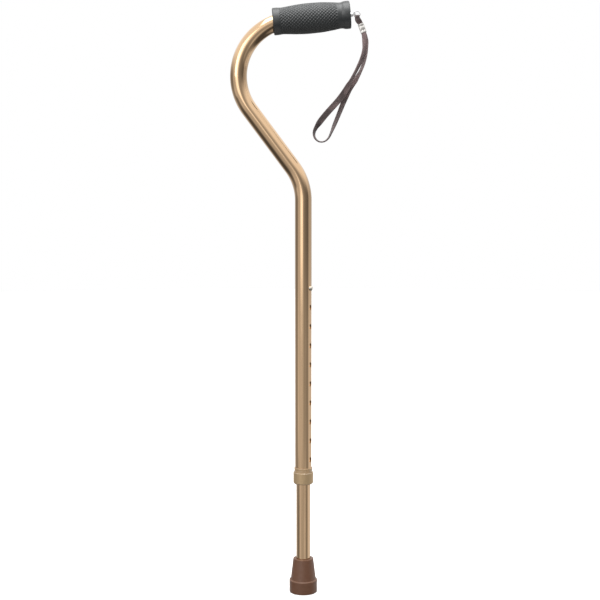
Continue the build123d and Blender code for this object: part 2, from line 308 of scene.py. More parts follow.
@dataclass
class ShaderKit:
    """The effects that more than one material uses, each built once as a node group."""

    groups: dict[str, bpy.types.NodeTree] = field(default_factory=dict)

    def get(
        self,
        name: str,
        knob: str,
        default: float,
        outputs: Sequence[str],
        build: Callable[[Graph, Any, Any], None],
    ) -> bpy.types.NodeTree:
        """Gives a group, and builds it the first time.

        Args:
            name: The group's name.
            knob: The name of its number input, which it has beside the vector.
            default: That input's default.
            outputs: The names of its number outputs.
            build: Fills a new tree, between the outputs of its input node and the inputs of its output node.

        Returns:
            The group's tree.
        """
        if name not in self.groups:
            tree = bpy.data.node_groups.new(name, "ShaderNodeTree")
            tree.interface.new_socket("Vector", in_out="INPUT", socket_type="NodeSocketVector")
            number = tree.interface.new_socket(knob, in_out="INPUT", socket_type="NodeSocketFloat")
            number.default_value = default
            for output in outputs:
                tree.interface.new_socket(output, in_out="OUTPUT", socket_type="NodeSocketFloat")
            graph = Graph(tree)
            start, end = graph.add("NodeGroupInput"), graph.add("NodeGroupOutput")
            build(graph, start.outputs, end.inputs)
            self.groups[name] = tree
        return self.groups[name]

    def drawn_grain(self) -> bpy.types.NodeTree:
        """Fine lines that run along a drawn or turned metal surface, without a seam."""

        def build(graph: Graph, start: Any, end: Any) -> None:
            around, along, _ = graph.parts(start["Vector"])
            turn = graph.math("MULTIPLY", around, FULL_TURN)
            roll = 0.01
            x = graph.math("MULTIPLY", graph.math("COSINE", turn), roll)
            y = graph.math("MULTIPLY", graph.math("SINE", turn), roll)
            stretch = graph.add("ShaderNodeVectorMath", operation="SCALE")
            graph.feed(stretch.inputs[0], graph.vector(x, y, along))
            graph.feed(stretch.inputs["Scale"], start["Fineness"])
            fine = graph.noise(graph.scaled(stretch.outputs[0], (2600, 2600, 30)), 1.0, 3.0)
            broad = graph.noise(graph.scaled(stretch.outputs[0], (520, 520, 5)), 1.0, 2.0)
            mixed = graph.math("MULTIPLY_ADD", fine, 0.55, graph.math("MULTIPLY", broad, 0.45))
            graph.feed(end["Height"], mixed)
            graph.feed(end["Tone"], graph.ramp(mixed, 0.36, 0.64))

        return self.get("drawn_grain", "Fineness", 1.0, ("Tone", "Height"), build)

    def handling(self) -> bpy.types.NodeTree:
        """Soft smudges and dust that handling leaves."""

        def build(graph: Graph, start: Any, end: Any) -> None:
            large = graph.noise(start["Vector"], start["Size"], 3.0)
            small = graph.noise(start["Vector"], graph.math("MULTIPLY", start["Size"], 22.0), 2.0)
            graph.feed(end["Smudge"], graph.ramp(large, 0.42, 0.66))
            specks = graph.ramp(small, 0.62, 0.72)
            graph.feed(end["Dust"], graph.math("MULTIPLY", specks, graph.ramp(large, 0.45, 0.7)))

        return self.get("handling", "Size", 60.0, ("Smudge", "Dust"), build)

    def edge_wear(self) -> bpy.types.NodeTree:
        """Breaks a piece's own worn-edge attribute up into an uneven mask."""

        def build(graph: Graph, start: Any, end: Any) -> None:
            edge = graph.add("ShaderNodeAttribute", attribute_name=WORN)
            patches = graph.noise(start["Vector"], 900.0, 3.0)
            raised = graph.math("MULTIPLY", edge.outputs["Fac"], graph.ramp(patches, 0.35, 0.65))
            graph.feed(end["Mask"], graph.math("MULTIPLY", raised, start["Amount"]))

        return self.get("edge_wear", "Amount", 0.5, ("Mask",), build)

    def moulded_skin(self) -> bpy.types.NodeTree:
        """The fine uneven skin of moulded rubber and plastic."""

        def build(graph: Graph, start: Any, end: Any) -> None:
            cells = graph.add("ShaderNodeTexVoronoi", feature="SMOOTH_F1")
            graph.set(cells, Vector=start["Vector"], Scale=start["Cell"])
            soft = graph.noise(start["Vector"], 240.0, 4.0)
            folds = graph.math("MULTIPLY", soft, 0.4)
            graph.feed(end["Height"], graph.math("MULTIPLY_ADD", cells.outputs["Distance"], 0.6, folds))
            graph.feed(end["Tone"], graph.ramp(soft, 0.35, 0.65))

        return self.get("moulded_skin", "Cell", 900.0, ("Height", "Tone"), build)

    def weave(self) -> bpy.types.NodeTree:
        """The crossing yarns of narrow webbing, read across and along it."""

        def build(graph: Graph, start: Any, end: Any) -> None:
            x, y, _ = graph.parts(start["Vector"])
            column = graph.math("DIVIDE", x, start["Yarn"])
            row = graph.math("DIVIDE", y, graph.math("MULTIPLY", start["Yarn"], 1.6))
            step = graph.math("MULTIPLY", graph.math("FLOORED_MODULO", graph.math("FLOOR", column), 2.0), 0.5)
            across = graph.math("ABSOLUTE", graph.math("SINE", graph.math("MULTIPLY", column, math.pi)))
            shifted = graph.math("MULTIPLY", graph.math("ADD", row, step), math.pi)
            along = graph.math("ABSOLUTE", graph.math("SINE", shifted))
            height = graph.math("MULTIPLY", graph.math("SQRT", across), graph.math("SQRT", along))
            graph.feed(end["Height"], height)
            fibres = graph.noise(graph.scaled(start["Vector"], (9000, 1200, 1)), 1.0, 2.0)
            # Tone follows the height, so it is lowest in the dips between the yarns; the webbing paints shade
            # there from it.
            graph.feed(end["Tone"], graph.math("MULTIPLY", height, graph.math("ADD", fibres, 0.5)))

        return self.get("weave", "Yarn", 0.0008, ("Height", "Tone"), build)


# ---------------------------------------------------------------- finishes


def begin_material(name: str) -> tuple[bpy.types.Material, Graph, bpy.types.Node]:
    """Starts a material.

    Args:
        name: The material's name.

    Returns:
        The material, its graph, and its Principled shader.
    """
    material = bpy.data.materials.new(name)
    material.use_nodes = True
    graph = Graph(material.node_tree)
    material.node_tree.nodes.clear()
    shader = graph.add("ShaderNodeBsdfPrincipled")
    output = graph.add("ShaderNodeOutputMaterial")
    graph.feed(output.inputs["Surface"], shader.outputs[0])
    return material, graph, shader


def bumped(graph: Graph, height: Value, strength: float, depth: float) -> bpy.types.NodeSocket:
    """Turns a height into a normal.

    Args:
        graph: The material's graph.
        height: The height's output.
        strength: How strong the effect is.
        depth: The height of 1, in metres.

    Returns:
        The normal.
    """
    node = graph.add("ShaderNodeBump")
    graph.set(node, Height=height, Strength=strength, Distance=depth)
    return node.outputs[0]


@dataclass(frozen=True)
class Finish:
    """What every finish has: a name, a main colour, and a way to make its material."""

    name: str
    colour: Colour

    def paint(self, kit: ShaderKit, graph: Graph, shader: bpy.types.Node) -> None:
        """Feeds the shader. Each finish has its own way.

        Args:
            kit: The shared shader effects.
            graph: The material's graph.
            shader: The material's Principled shader.
        """
        raise NotImplementedError

    def shade(self, factor: float, lift: float = 0.0) -> Colour:
        """Gives the main colour made darker or paler."""
        return tuple(min(1.0, factor * channel + lift) for channel in self.colour)

    def material(self, kit: ShaderKit) -> bpy.types.Material:
        """Makes the material.

        Args:
            kit: The shared shader effects.

        Returns:
            The material.
        """
        material, graph, shader = begin_material(self.name)
        self.paint(kit, graph, shader)
        return material


@dataclass(frozen=True)
class Anodised(Finish):
    """Bronze anodised aluminium: tinted metal under a clear hard skin, with drawn or turned lines."""

    deep: Colour
    roughness: float
    grain_depth: float = 0.00001
    bare: Colour = (0.86, 0.80, 0.70)
    coat: float = 0.6
    metallic: float = 1.0

    def paint(self, kit: ShaderKit, graph: Graph, shader: bpy.types.Node) -> None:
        """Feeds the shader."""
        surface = graph.surface()
        place = graph.place()
        grain = graph.group(kit.drawn_grain(), Vector=surface, Fineness=1.0)
        handled = graph.group(kit.handling(), Vector=place, Size=45.0)
        wear = graph.group(kit.edge_wear(), Vector=place, Amount=0.8)
        lines = graph.math("MULTIPLY", grain.outputs["Tone"], 0.35)
        toned = graph.blend(lines, self.colour, self.deep)
        worn = graph.blend(wear.outputs["Mask"], toned, self.bare)
        graph.set(shader, Base_Color=worn, Metallic=self.metallic)
        smudged = graph.math("MULTIPLY_ADD", handled.outputs["Smudge"], 0.05, self.roughness)
        rough = graph.math("MULTIPLY_ADD", grain.outputs["Tone"], 0.04, smudged)
        graph.set(
            shader,
            Roughness=rough,
            Coat_Weight=self.coat,
            Coat_Roughness=0.1,
            Coat_IOR=1.6,
            Normal=bumped(graph, grain.outputs["Height"], 0.15, self.grain_depth),
        )


@dataclass(frozen=True)
class Rubber(Finish):
    """Moulded rubber with a fine skin, a faint bloom, and paler rounded edges that are rubbed wear and, on
    the tip, also a painted highlight.
    """

    bloom: Colour
    roughness: float
    skin_depth: float = 0.00006
    cell: float = 1100.0
    rubbed: float = 0.4
    gloss: float = 0.5
    uneven: float = 0.3

    def paint(self, kit: ShaderKit, graph: Graph, shader: bpy.types.Node) -> None:
        """Feeds the shader."""
        place = graph.place()
        skin = graph.group(kit.moulded_skin(), Vector=place, Cell=self.cell)
        handled = graph.group(kit.handling(), Vector=place, Size=70.0)
        wear = graph.group(kit.edge_wear(), Vector=place, Amount=self.rubbed)
        soft = graph.math("MULTIPLY", skin.outputs["Tone"], self.uneven)
        dusty = graph.math("MULTIPLY_ADD", handled.outputs["Dust"], 0.3, soft)
        toned = graph.blend(dusty, self.colour, self.bloom)
        # The worn-edge mask pales rounded edges towards the bloom: rubbed wear, and where it is set strong,
        # as on the tip, also a painted highlight along those edges.
        graph.feed(shader.inputs["Base Color"], graph.blend(wear.outputs["Mask"], toned, self.bloom))
        rough = graph.math("MULTIPLY_ADD", handled.outputs["Smudge"], 0.08, self.roughness)
        graph.set(
            shader,
            Roughness=rough,
            Specular_IOR_Level=self.gloss,
            Normal=bumped(graph, skin.outputs["Height"], 0.5, self.skin_depth),
        )


@dataclass(frozen=True)
class Plated(Finish):
    """Bright plated or polished steel with faint polishing marks."""

    roughness: float
    tarnish: Colour = (0.35, 0.33, 0.30)

    def paint(self, kit: ShaderKit, graph: Graph, shader: bpy.types.Node) -> None:
        """Feeds the shader."""
        place = graph.place()
        marks = graph.noise(graph.scaled(place, (3200, 3200, 420)), 1.0, 2.0)
        handled = graph.group(kit.handling(), Vector=place, Size=260.0)
        dulled = graph.math("MULTIPLY", handled.outputs["Dust"], 0.5)
        graph.set(shader, Base_Color=graph.blend(dulled, self.colour, self.tarnish), Metallic=1.0)
        rough = graph.math("MULTIPLY_ADD", handled.outputs["Smudge"], 0.08, self.roughness)
        graph.set(shader, Roughness=rough, Normal=bumped(graph, marks, 0.15, 0.000006))


@dataclass(frozen=True)
class Moulded(Finish):
    """Hard moulded plastic."""

    roughness: float
    coat: float = 0.0

    def paint(self, kit: ShaderKit, graph: Graph, shader: bpy.types.Node) -> None:
        """Feeds the shader."""
        place = graph.place()
        skin = graph.group(kit.moulded_skin(), Vector=place, Cell=2200.0)
        wear = graph.group(kit.edge_wear(), Vector=place, Amount=0.35)
        darker, paler = self.shade(0.78), self.shade(1.35, 0.02)
        toned = graph.blend(graph.math("MULTIPLY", skin.outputs["Tone"], 0.4), self.colour, darker)
        graph.feed(shader.inputs["Base Color"], graph.blend(wear.outputs["Mask"], toned, paler))
        rough = graph.math("MULTIPLY_ADD", skin.outputs["Tone"], 0.08, self.roughness)
        graph.set(
            shader,
            Roughness=rough,
            Coat_Weight=self.coat,
            Coat_Roughness=0.15,
            Normal=bumped(graph, skin.outputs["Height"], 0.25, 0.00002),
        )


@dataclass(frozen=True)
class Webbing(Finish):
    """Flat woven webbing, with its yarns, a soft fibre sheen, painted shade in the dips between the yarns,
    and painted shade on one face of the band that swaps faces round the bottom of the loop.
    """

    # The colour of the painted shade in the dips between the yarns.
    painted_groove_shade: Colour
    yarn: float = 0.0008
    half_girth: float = 0.0095
    # How dark the painted shade on one face of the band is, as a share of the colour.
    painted_face_shade: float = 0.3
    half_way: float = 0.171
    crossing: tuple[float, float] = (0.094, 0.080)

    def paint(self, kit: ShaderKit, graph: Graph, shader: bpy.types.Node) -> None:
        """Feeds the shader."""
        surface = graph.surface()
        place = graph.place()
        weave = graph.group(kit.weave(), Vector=surface, Yarn=self.yarn)
        handled = graph.group(kit.handling(), Vector=place, Size=120.0)
        across, along, _ = graph.parts(surface)
        # Painted shade: one face of the band takes a darker copy of the colour, the far face along the upper
        # strands and the near face round the bottom of the loop, so one arm reads shaded and the other lit.
        far_face = graph.math("GREATER_THAN", across, self.half_girth)
        near_face = graph.math("SUBTRACT", 1.0, far_face)
        from_turn = graph.math("ABSOLUTE", graph.math("SUBTRACT", along, self.half_way))
        lower = graph.ramp(from_turn, *self.crossing)
        upper = graph.math("MULTIPLY", far_face, graph.math("SUBTRACT", 1.0, lower))
        inside = graph.math("MULTIPLY_ADD", near_face, lower, upper)
        yarns = graph.blend(inside, self.colour, self.shade(self.painted_face_shade))
        # Painted shade: where the weave sinks between the yarns, the colour goes to a near-black copy,
        # standing in for the shade in those dips.
        woven = graph.blend(graph.ramp(weave.outputs["Tone"], 0.1, 0.9), self.painted_groove_shade, yarns)
        fluffed = graph.math("MULTIPLY", handled.outputs["Smudge"], 0.35)
        graph.feed(shader.inputs["Base Color"], graph.blend(fluffed, woven, self.shade(1.25)))
        rough = graph.math("MULTIPLY_ADD", weave.outputs["Tone"], -0.12, 0.82)
        graph.set(
            shader,
            Roughness=rough,
            Sheen_Weight=0.25,
            Sheen_Roughness=0.5,
            Normal=bumped(graph, weave.outputs["Height"], 0.7, 0.00018),
        )


@dataclass
class Wardrobe:
    """Makes each finish once and hands it out by slot."""

    kit: ShaderKit = field(default_factory=ShaderKit)
    made: dict[Slot, bpy.types.Material] = field(default_factory=dict)
    finishes: dict[Slot, Any] = field(
        default_factory=lambda: {
            Slot.TUBE: Anodised("bronze_anodised_tube", (0.58, 0.395, 0.235), (0.46, 0.30, 0.16), 0.07),
            Slot.COLLAR: Anodised(
                "satin_bronze_collar",
                (0.44, 0.315, 0.18),
                (0.38, 0.265, 0.145),
                roughness=0.45,
                grain_depth=0.00002,
                coat=0.1,
                metallic=0.6,
            ),
            Slot.BUSH: Moulded("bronze_nylon", (0.36, 0.24, 0.125), 0.22, 0.8),
            Slot.GRIP: Rubber(
                "black_grip_rubber", (0.010, 0.013, 0.0145), (0.022, 0.027, 0.030), 0.4, gloss=0.75
            ),
            Slot.PLASTIC: Moulded("black_plug_plastic", (0.018, 0.018, 0.018), 0.4),
            Slot.CHROME: Plated("bright_chrome_plate", (0.80, 0.80, 0.81), 0.07),
            Slot.STEEL: Plated("zinc_plated_steel", (0.62, 0.62, 0.63), 0.28),
            Slot.CRIMP: Plated("nickel_plate", (0.60, 0.59, 0.57), 0.2),
            # The webbing's second colour is the painted shade in the dips between its yarns.
            Slot.WEBBING: Webbing("brown_webbing", (0.20, 0.138, 0.136), (0.03, 0.02, 0.021)),
            Slot.BUTTON: Plated("polished_button_steel", (0.72, 0.69, 0.63), 0.12),
            Slot.SPRING: Plated("tempered_strip_steel", (0.42, 0.42, 0.44), 0.3),
            Slot.TIP: Rubber(
                "brown_tip_rubber",
                (0.105, 0.044, 0.022),
                (0.16, 0.085, 0.052),
                roughness=0.38,
                cell=1500.0,
                # Strong edge paling: partly rubbed wear, partly a painted highlight on the rim and on the
                # ledge above the base.
                rubbed=0.7,
                uneven=0.15,
            ),
        }
    )

    def material(self, slot: Slot) -> bpy.types.Material:
        """Gives the material of a slot.

        Args:
            slot: The slot.

        Returns:
            Its material.
        """
        if slot not in self.made:
            self.made[slot] = self.finishes[slot].material(self.kit)
        return self.made[slot]


# ---------------------------------------------------------------- mesh work


def skin(
    name: str,
    rings: Sequence[Sequence[Vector]],
    lengths: Sequence[float],
    girth: float = 1.0,
    wrap: bool = False,
    worn: Sequence[float] | None = None,
) -> bpy.types.Object:
    """Joins closed rings of points with quads.

    Args:
        name: The piece's name.
        rings: The rings, each with the same number of points.
        lengths: The distance along the surface at each ring, and once more at the end if it wraps.
        girth: What once around a ring measures on the surface map: 1, or its true length.
        wrap: Whether the last ring joins the first.
        worn: How rubbed each ring is, from 0 to 1.

    Returns:
        The piece, closed at its poles, with its faces outwards.
    """
    count = len(rings[0])
    work = bmesh.new()
    surface = work.loops.layers.uv.new(SURFACE_UV)
    layers = {key: work.verts.layers.float.new(key) for key in (AROUND, ALONG, WORN)}
    made = []
    for index, ring in enumerate(rings):
        row = []
        for turn, point in enumerate(ring):
            vert = work.verts.new(point)
            vert[layers[AROUND]] = turn / count
            vert[layers[ALONG]] = lengths[index]
            vert[layers[WORN]] = worn[index] if worn else 0.0
            row.append(vert)
        made.append(row)
    for index in range(len(rings) if wrap else len(rings) - 1):
        after = (index + 1) % len(rings)
        for turn in range(count):
            right = (turn + 1) % count
            here, there = made[index], made[after]
            face = work.faces.new((here[turn], here[right], there[right], there[turn]))
            face.smooth = True
            corners = ((turn, index), (turn + 1, index), (turn + 1, index + 1), (turn, index + 1))
            for loop, (across, along) in zip(face.loops, corners):
                loop[surface].uv = (girth * across / count, lengths[along])
    return closed_piece(name, work)


def closed_piece(name: str, work: bmesh.types.BMesh) -> bpy.types.Object:
    """Turns working mesh data into a piece.

    Args:
        name: The piece's name.
        work: The mesh data, which is freed.

    Returns:
        The piece, with its doubles merged and its faces outwards.
    """
    bmesh.ops.remove_doubles(work, verts=work.verts, dist=1e-7)
    bmesh.ops.recalc_face_normals(work, faces=work.faces)
    mesh = bpy.data.meshes.new(name)
    work.to_mesh(mesh)
    work.free()
    piece = bpy.data.objects.new(name, mesh)
    bpy.context.scene.collection.objects.link(piece)
    return piece


def circle(middle: Vector, across: Vector, up: Vector, radius: float, count: int) -> list[Vector]:
    """Gives evenly spaced points round a circle.

    Args:
        middle: Its middle.
        across: The direction of its first point.
        up: The direction a quarter of a turn on.
        radius: Its radius.
        count: How many points it has.

    Returns:
        The points.
    """
    points = []
    for step in range(count):
        angle = FULL_TURN * step / count
        points.append(middle + (across * math.cos(angle) + up * math.sin(angle)) * radius)
    return points


@dataclass(frozen=True)
class Corner:
    """A corner of a turned outline, and the radius that rounds it."""

    radius: float
    height: float
    round: float = 0.0


def rounded_outline(corners: Sequence[Corner], steps: int = 5) -> list[tuple[float, float, float]]:
    """Rounds the corners of a closed outline.

    Args:
        corners: The outline's corners in order.
        steps: How many runs each arc has.

    Returns:
        Points as (radius, height, worn), with the middle of each arc worn.
    """
    outline: list[tuple[float, float, float]] = []
    for index, corner in enumerate(corners):
        at = Vector((corner.radius, corner.height))
        before = corners[index - 1]
        after = corners[(index + 1) % len(corners)]
        back = Vector((before.radius, before.height)) - at
        ahead = Vector((after.radius, after.height)) - at
        if corner.round <= 0:
            outline.append((at.x, at.y, 0.0))
            continue
        half = back.angle(ahead) / 2
        reach = min(corner.round / math.tan(half), 0.45 * back.length, 0.45 * ahead.length)
        start = at + back.normalized() * reach
        end = at + ahead.normalized() * reach
        if back.length > 2 * reach + 4 * HOLD:
            hold = start + back.normalized() * HOLD
            outline.append((hold.x, hold.y, 0.0))
        for step in range(steps + 1):
            share = step / steps
            point = start.lerp(at, share).lerp(at.lerp(end, share), share)
            outline.append((max(point.x, 0.0), point.y, math.sin(math.pi * share)))
        if ahead.length > 2 * reach + 4 * HOLD:
            hold = end + ahead.normalized() * HOLD
            outline.append((hold.x, hold.y, 0.0))
    return outline


def turned(
    name: str,
    corners: Sequence[Corner],
    segments: int,
    origin: Vector | None = None,
    axis: Vector | None = None,
    around: Vector | None = None,
) -> bpy.types.Object:
    """Turns a closed outline about an axis.

    Args:
        name: The piece's name.
        corners: The outline's corners, closed from the last to the first, or from pole to pole.
        segments: How many flats go round.
        origin: The axis's start, the frame's origin if left out.
        axis: The axis's direction, +Z if left out.
        around: Where the turn starts, +X if left out.

    Returns:
        The piece.
    """
    origin = origin or Vector()
    axis = axis or Z_AXIS
    around = around or X_AXIS
    side = axis.cross(around)
    outline = rounded_outline(corners)
    hollow = corners[0].radius > 0
    lengths = [0.0]
    rings = [circle(origin + axis * height, around, side, radius, segments) for radius, height, _ in outline]
    for index, (radius, height, _) in enumerate(outline):
        ahead = outline[(index + 1) % len(outline)]
        lengths.append(lengths[-1] + math.hypot(ahead[0] - radius, ahead[1] - height))
    return skin(name, rings, lengths, wrap=hollow, worn=[rubbed for _, _, rubbed in outline])


def dress(
    piece: bpy.types.Object,
    wardrobe: Wardrobe,
    slot: Slot,
    body: Body,
    replaced: Sequence[str] = (),
) -> bpy.types.Object:
    """Gives a finished piece its material, its body and the nodes it stands for.

    Args:
        piece: The piece.
        wardrobe: Where its material comes from.
        slot: The record's slot of that material.
        body: The body that it moves with.
        replaced: The frame's nodes that it stands for.

    Returns:
        The piece.
    """
    piece.data.materials.clear()
    piece.data.materials.append(wardrobe.material(slot))
    for face in piece.data.polygons:
        face.material_index = 0
    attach(piece, body.value)
    if replaced:
        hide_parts(*replaced)
    log.info("%s: %d faces on %s", piece.name, len(piece.data.polygons), body.value)
    return piece


def redress_node(frame: dict, node: str, wardrobe: Wardrobe, slot: Slot) -> None:
    """Gives one of the frame's own nodes a better material.

    Args:
        frame: What the frame loader gave.
        node: The node's name.
        wardrobe: Where the material comes from.
        slot: The record's slot of that material.
    """
    slots = frame["nodes"][node].material_slots
    for material_slot in slots:
        material_slot.material = wardrobe.material(slot)
    log.info("%s: the frame's own shape in %s", node, slot.value)


# ---------------------------------------------------------------- geometry node trees


@dataclass
class GeometryTree:
    """A geometry node tree under construction, with named inputs."""

    name: str
    numbers: Sequence[str]
    counts: Sequence[str] = ()

    def __post_init__(self) -> None:
        """Makes the tree, its geometry sockets and its two end nodes."""
        self.tree = bpy.data.node_groups.new(self.name, "GeometryNodeTree")
        self.tree.is_modifier = True
        self.graph = Graph(self.tree)
        self.identifiers: dict[str, str] = {}
        self.socket("Geometry", "NodeSocketGeometry")
        for name in self.numbers:
            self.socket(name, "NodeSocketFloat")
        for name in self.counts:
            self.socket(name, "NodeSocketInt")
        self.socket("Material", "NodeSocketMaterial")
        self.tree.interface.new_socket("Geometry", in_out="OUTPUT", socket_type="NodeSocketGeometry")
        self.start = self.graph.add("NodeGroupInput")
        self.end = self.graph.add("NodeGroupOutput")

    def socket(self, name: str, kind: str) -> None:
        """Adds a named input."""
        made = self.tree.interface.new_socket(name, in_out="INPUT", socket_type=kind)
        self.identifiers[name] = made.identifier

    def value(self, name: str) -> bpy.types.NodeSocket:
        """Gives a named input's value inside the tree."""
        return self.start.outputs[name]

    def attribute(self, name: str) -> bpy.types.NodeSocket:
        """Reads a number that the mesh carries on its points."""
        node = self.graph.add("GeometryNodeInputNamedAttribute", data_type="FLOAT")
        node.inputs["Name"].default_value = name
        return node.outputs["Attribute"]

    def finish(self, geometry: bpy.types.NodeSocket) -> None:
        """Ends the tree in Realize Instances and Set Material.

        Args:
            geometry: What the tree made.
        """
        whole = self.graph.add("GeometryNodeRealizeInstances")
        painted = self.graph.add("GeometryNodeSetMaterial")
        self.graph.feed(whole.inputs["Geometry"], geometry)
        self.graph.set(painted, Geometry=whole.outputs["Geometry"], Material=self.value("Material"))
        self.graph.feed(self.end.inputs["Geometry"], painted.outputs["Geometry"])

    def apply(self, piece: bpy.types.Object, **inputs: Any) -> bpy.types.Object:
        """Runs the tree on a piece and leaves a plain mesh.

        Args:
            piece: The piece to work on.
            **inputs: The named inputs' values, with _ for each space in their names.

        Returns:
            The piece, with no modifier left on it.
        """
        modifier = piece.modifiers.new(self.name, "NODES")
        modifier.node_group = self.tree
        for key, value in inputs.items():
            modifier[self.identifiers[key.replace("_", " ")]] = value
        depsgraph = bpy.context.evaluated_depsgraph_get()
        result = bpy.data.meshes.new_from_object(
            piece.evaluated_get(depsgraph), preserve_all_data_layers=True, depsgraph=depsgraph
        )
        piece.modifiers.clear()
        piece.data = result
        result.name = piece.name
        return piece


def hole_row_tree() -> GeometryTree:
    """Builds the tree that drills a row of round holes through one wall of a tube."""
    made = GeometryTree("hole_row", ("Hole Radius", "Pitch", "Lowest", "Azimuth", "Tube Radius"), ("Count",))
    graph = made.graph
    azimuth, radius = made.value("Azimuth"), made.value("Tube Radius")
    x = graph.math("MULTIPLY", graph.math("COSINE", azimuth), radius)
    y = graph.math("MULTIPLY", graph.math("SINE", azimuth), radius)
    place = graph.vector(x, y, made.value("Lowest"))
    step = graph.vector(z=made.value("Pitch"))
    line = graph.add("GeometryNodeMeshLine", mode="OFFSET")
    graph.set(line, Count=made.value("Count"), Start_Location=place, Offset=step)
    drill = graph.add("GeometryNodeMeshCylinder")
    graph.set(drill, Vertices=48, Radius=made.value("Hole Radius"), Depth=radius)
    turn = graph.vector(y=math.pi / 2, z=azimuth)
    drills = graph.add("GeometryNodeInstanceOnPoints")
    graph.set(drills, Points=line.outputs["Mesh"], Instance=drill.outputs["Mesh"], Rotation=turn)
    solid = graph.add("GeometryNodeRealizeInstances")
    graph.feed(solid.inputs["Geometry"], drills.outputs["Instances"])
    cut = graph.add("GeometryNodeMeshBoolean", operation="DIFFERENCE", solver="EXACT")
    graph.feed(cut.inputs["Mesh 1"], made.value("Geometry"))
    graph.feed(cut.inputs["Mesh 2"], solid.outputs["Geometry"])
    made.finish(cut.outputs["Mesh"])
    return made


def raise_surface(made: GeometryTree, height: bpy.types.NodeSocket) -> bpy.types.NodeSocket:
    """Moves the mesh's points out along their normals.

    Args:
        made: The tree.
        height: How far, in metres.

    Returns:
        The moved geometry.
    """
    graph = made.graph
    lift = graph.add("ShaderNodeVectorMath", operation="SCALE")
    graph.feed(lift.inputs[0], graph.add("GeometryNodeInputNormal").outputs[0])
    graph.feed(lift.inputs["Scale"], height)
    moved = graph.add("GeometryNodeSetPosition")
    graph.set(moved, Geometry=made.value("Geometry"), Offset=lift.outputs[0])
    return moved.outputs["Geometry"]


def cross_hatch_tree() -> GeometryTree:
    """Builds the tree that raises a diamond cross-hatch between two places along a turned surface."""
    made = GeometryTree("cross_hatch", ("Pitch", "Depth", "Groove", "From", "To", "Fade"), ("Count",))
    graph = made.graph
    along = made.attribute(ALONG)
    across = graph.math("MULTIPLY", made.attribute(AROUND), made.value("Count"))
    down = graph.math("DIVIDE", along, made.value("Pitch"))
    walls = []
    for slanted in (graph.math("ADD", across, down), graph.math("SUBTRACT", across, down)):
        middle = graph.math("SUBTRACT", graph.math("FRACT", slanted), 0.5)
        far = graph.math("SUBTRACT", 0.5, graph.math("ABSOLUTE", middle))
        rise = graph.math("DIVIDE", far, made.value("Groove"))
        walls.append(graph.math("MINIMUM", rise, 1.0))
    relief = graph.math("MULTIPLY", walls[0], walls[1])
    fade = made.value("Fade")
    entry = graph.math("DIVIDE", graph.math("SUBTRACT", along, made.value("From")), fade)
    leave = graph.math("DIVIDE", graph.math("SUBTRACT", made.value("To"), along), fade)
    band = graph.math("MINIMUM", graph.ramp(entry, 0.0, 1.0), graph.ramp(leave, 0.0, 1.0))
    sunk = graph.math("MULTIPLY", graph.math("SUBTRACT", relief, 1.0), band)
    made.finish(raise_surface(made, graph.math("MULTIPLY", sunk, made.value("Depth"))))
    return made


def webbing_tree() -> GeometryTree:
    """Builds the tree that raises the slanting yarns and the two firm edges of narrow webbing."""
    made = GeometryTree("webbing_yarns", ("Yarn", "Depth", "Girth"))
    graph = made.graph
    around = graph.math("MULTIPLY", made.attribute(AROUND), made.value("Girth"))
    folded = graph.math("PINGPONG", around, graph.math("DIVIDE", made.value("Girth"), 4.0))
    slanted = graph.math("ADD", made.attribute(ALONG), folded)
    yarns = graph.math("DIVIDE", slanted, made.value("Yarn"))
    wave = graph.math("SINE", graph.math("MULTIPLY", yarns, FULL_TURN))
    made.finish(raise_surface(made, graph.math("MULTIPLY", wave, made.value("Depth"))))
    return made


def thread_tree() -> GeometryTree:
    """Builds the tree that winds a screw thread's crest round an axis."""
    made = GeometryTree("screw_thread", ("Radius", "Lead", "Turns", "Bottom", "Crest"))
    graph = made.graph
    spiral = graph.add("GeometryNodeCurveSpiral")
    graph.set(
        spiral,
        Resolution=96,
        Rotations=made.value("Turns"),
        Start_Radius=made.value("Radius"),
        End_Radius=made.value("Radius"),
        Height=graph.math("MULTIPLY", made.value("Lead"), made.value("Turns")),
    )
    lifted = graph.add("GeometryNodeTransform")
    graph.set(lifted, Geometry=spiral.outputs["Curve"], Translation=graph.vector(z=made.value("Bottom")))
    crest = graph.add("GeometryNodeCurvePrimitiveCircle")
    graph.set(crest, Resolution=8, Radius=made.value("Crest"))
    wound = graph.add("GeometryNodeCurveToMesh")
    graph.set(wound, Curve=lifted.outputs["Geometry"], Profile_Curve=crest.outputs["Curve"], Fill_Caps=True)
    both = graph.add("GeometryNodeJoinGeometry")
    graph.feed(both.inputs["Geometry"], wound.outputs["Mesh"])
    graph.tree.links.new(made.value("Geometry"), both.inputs["Geometry"])
    made.finish(both.outputs["Geometry"])
    return made


# ---------------------------------------------------------------- tubes


@dataclass(frozen=True)
class Station:
    """A place along a tube: its middle, the way it runs, and how far along it is."""

    at: Vector
    along: Vector
    length: float


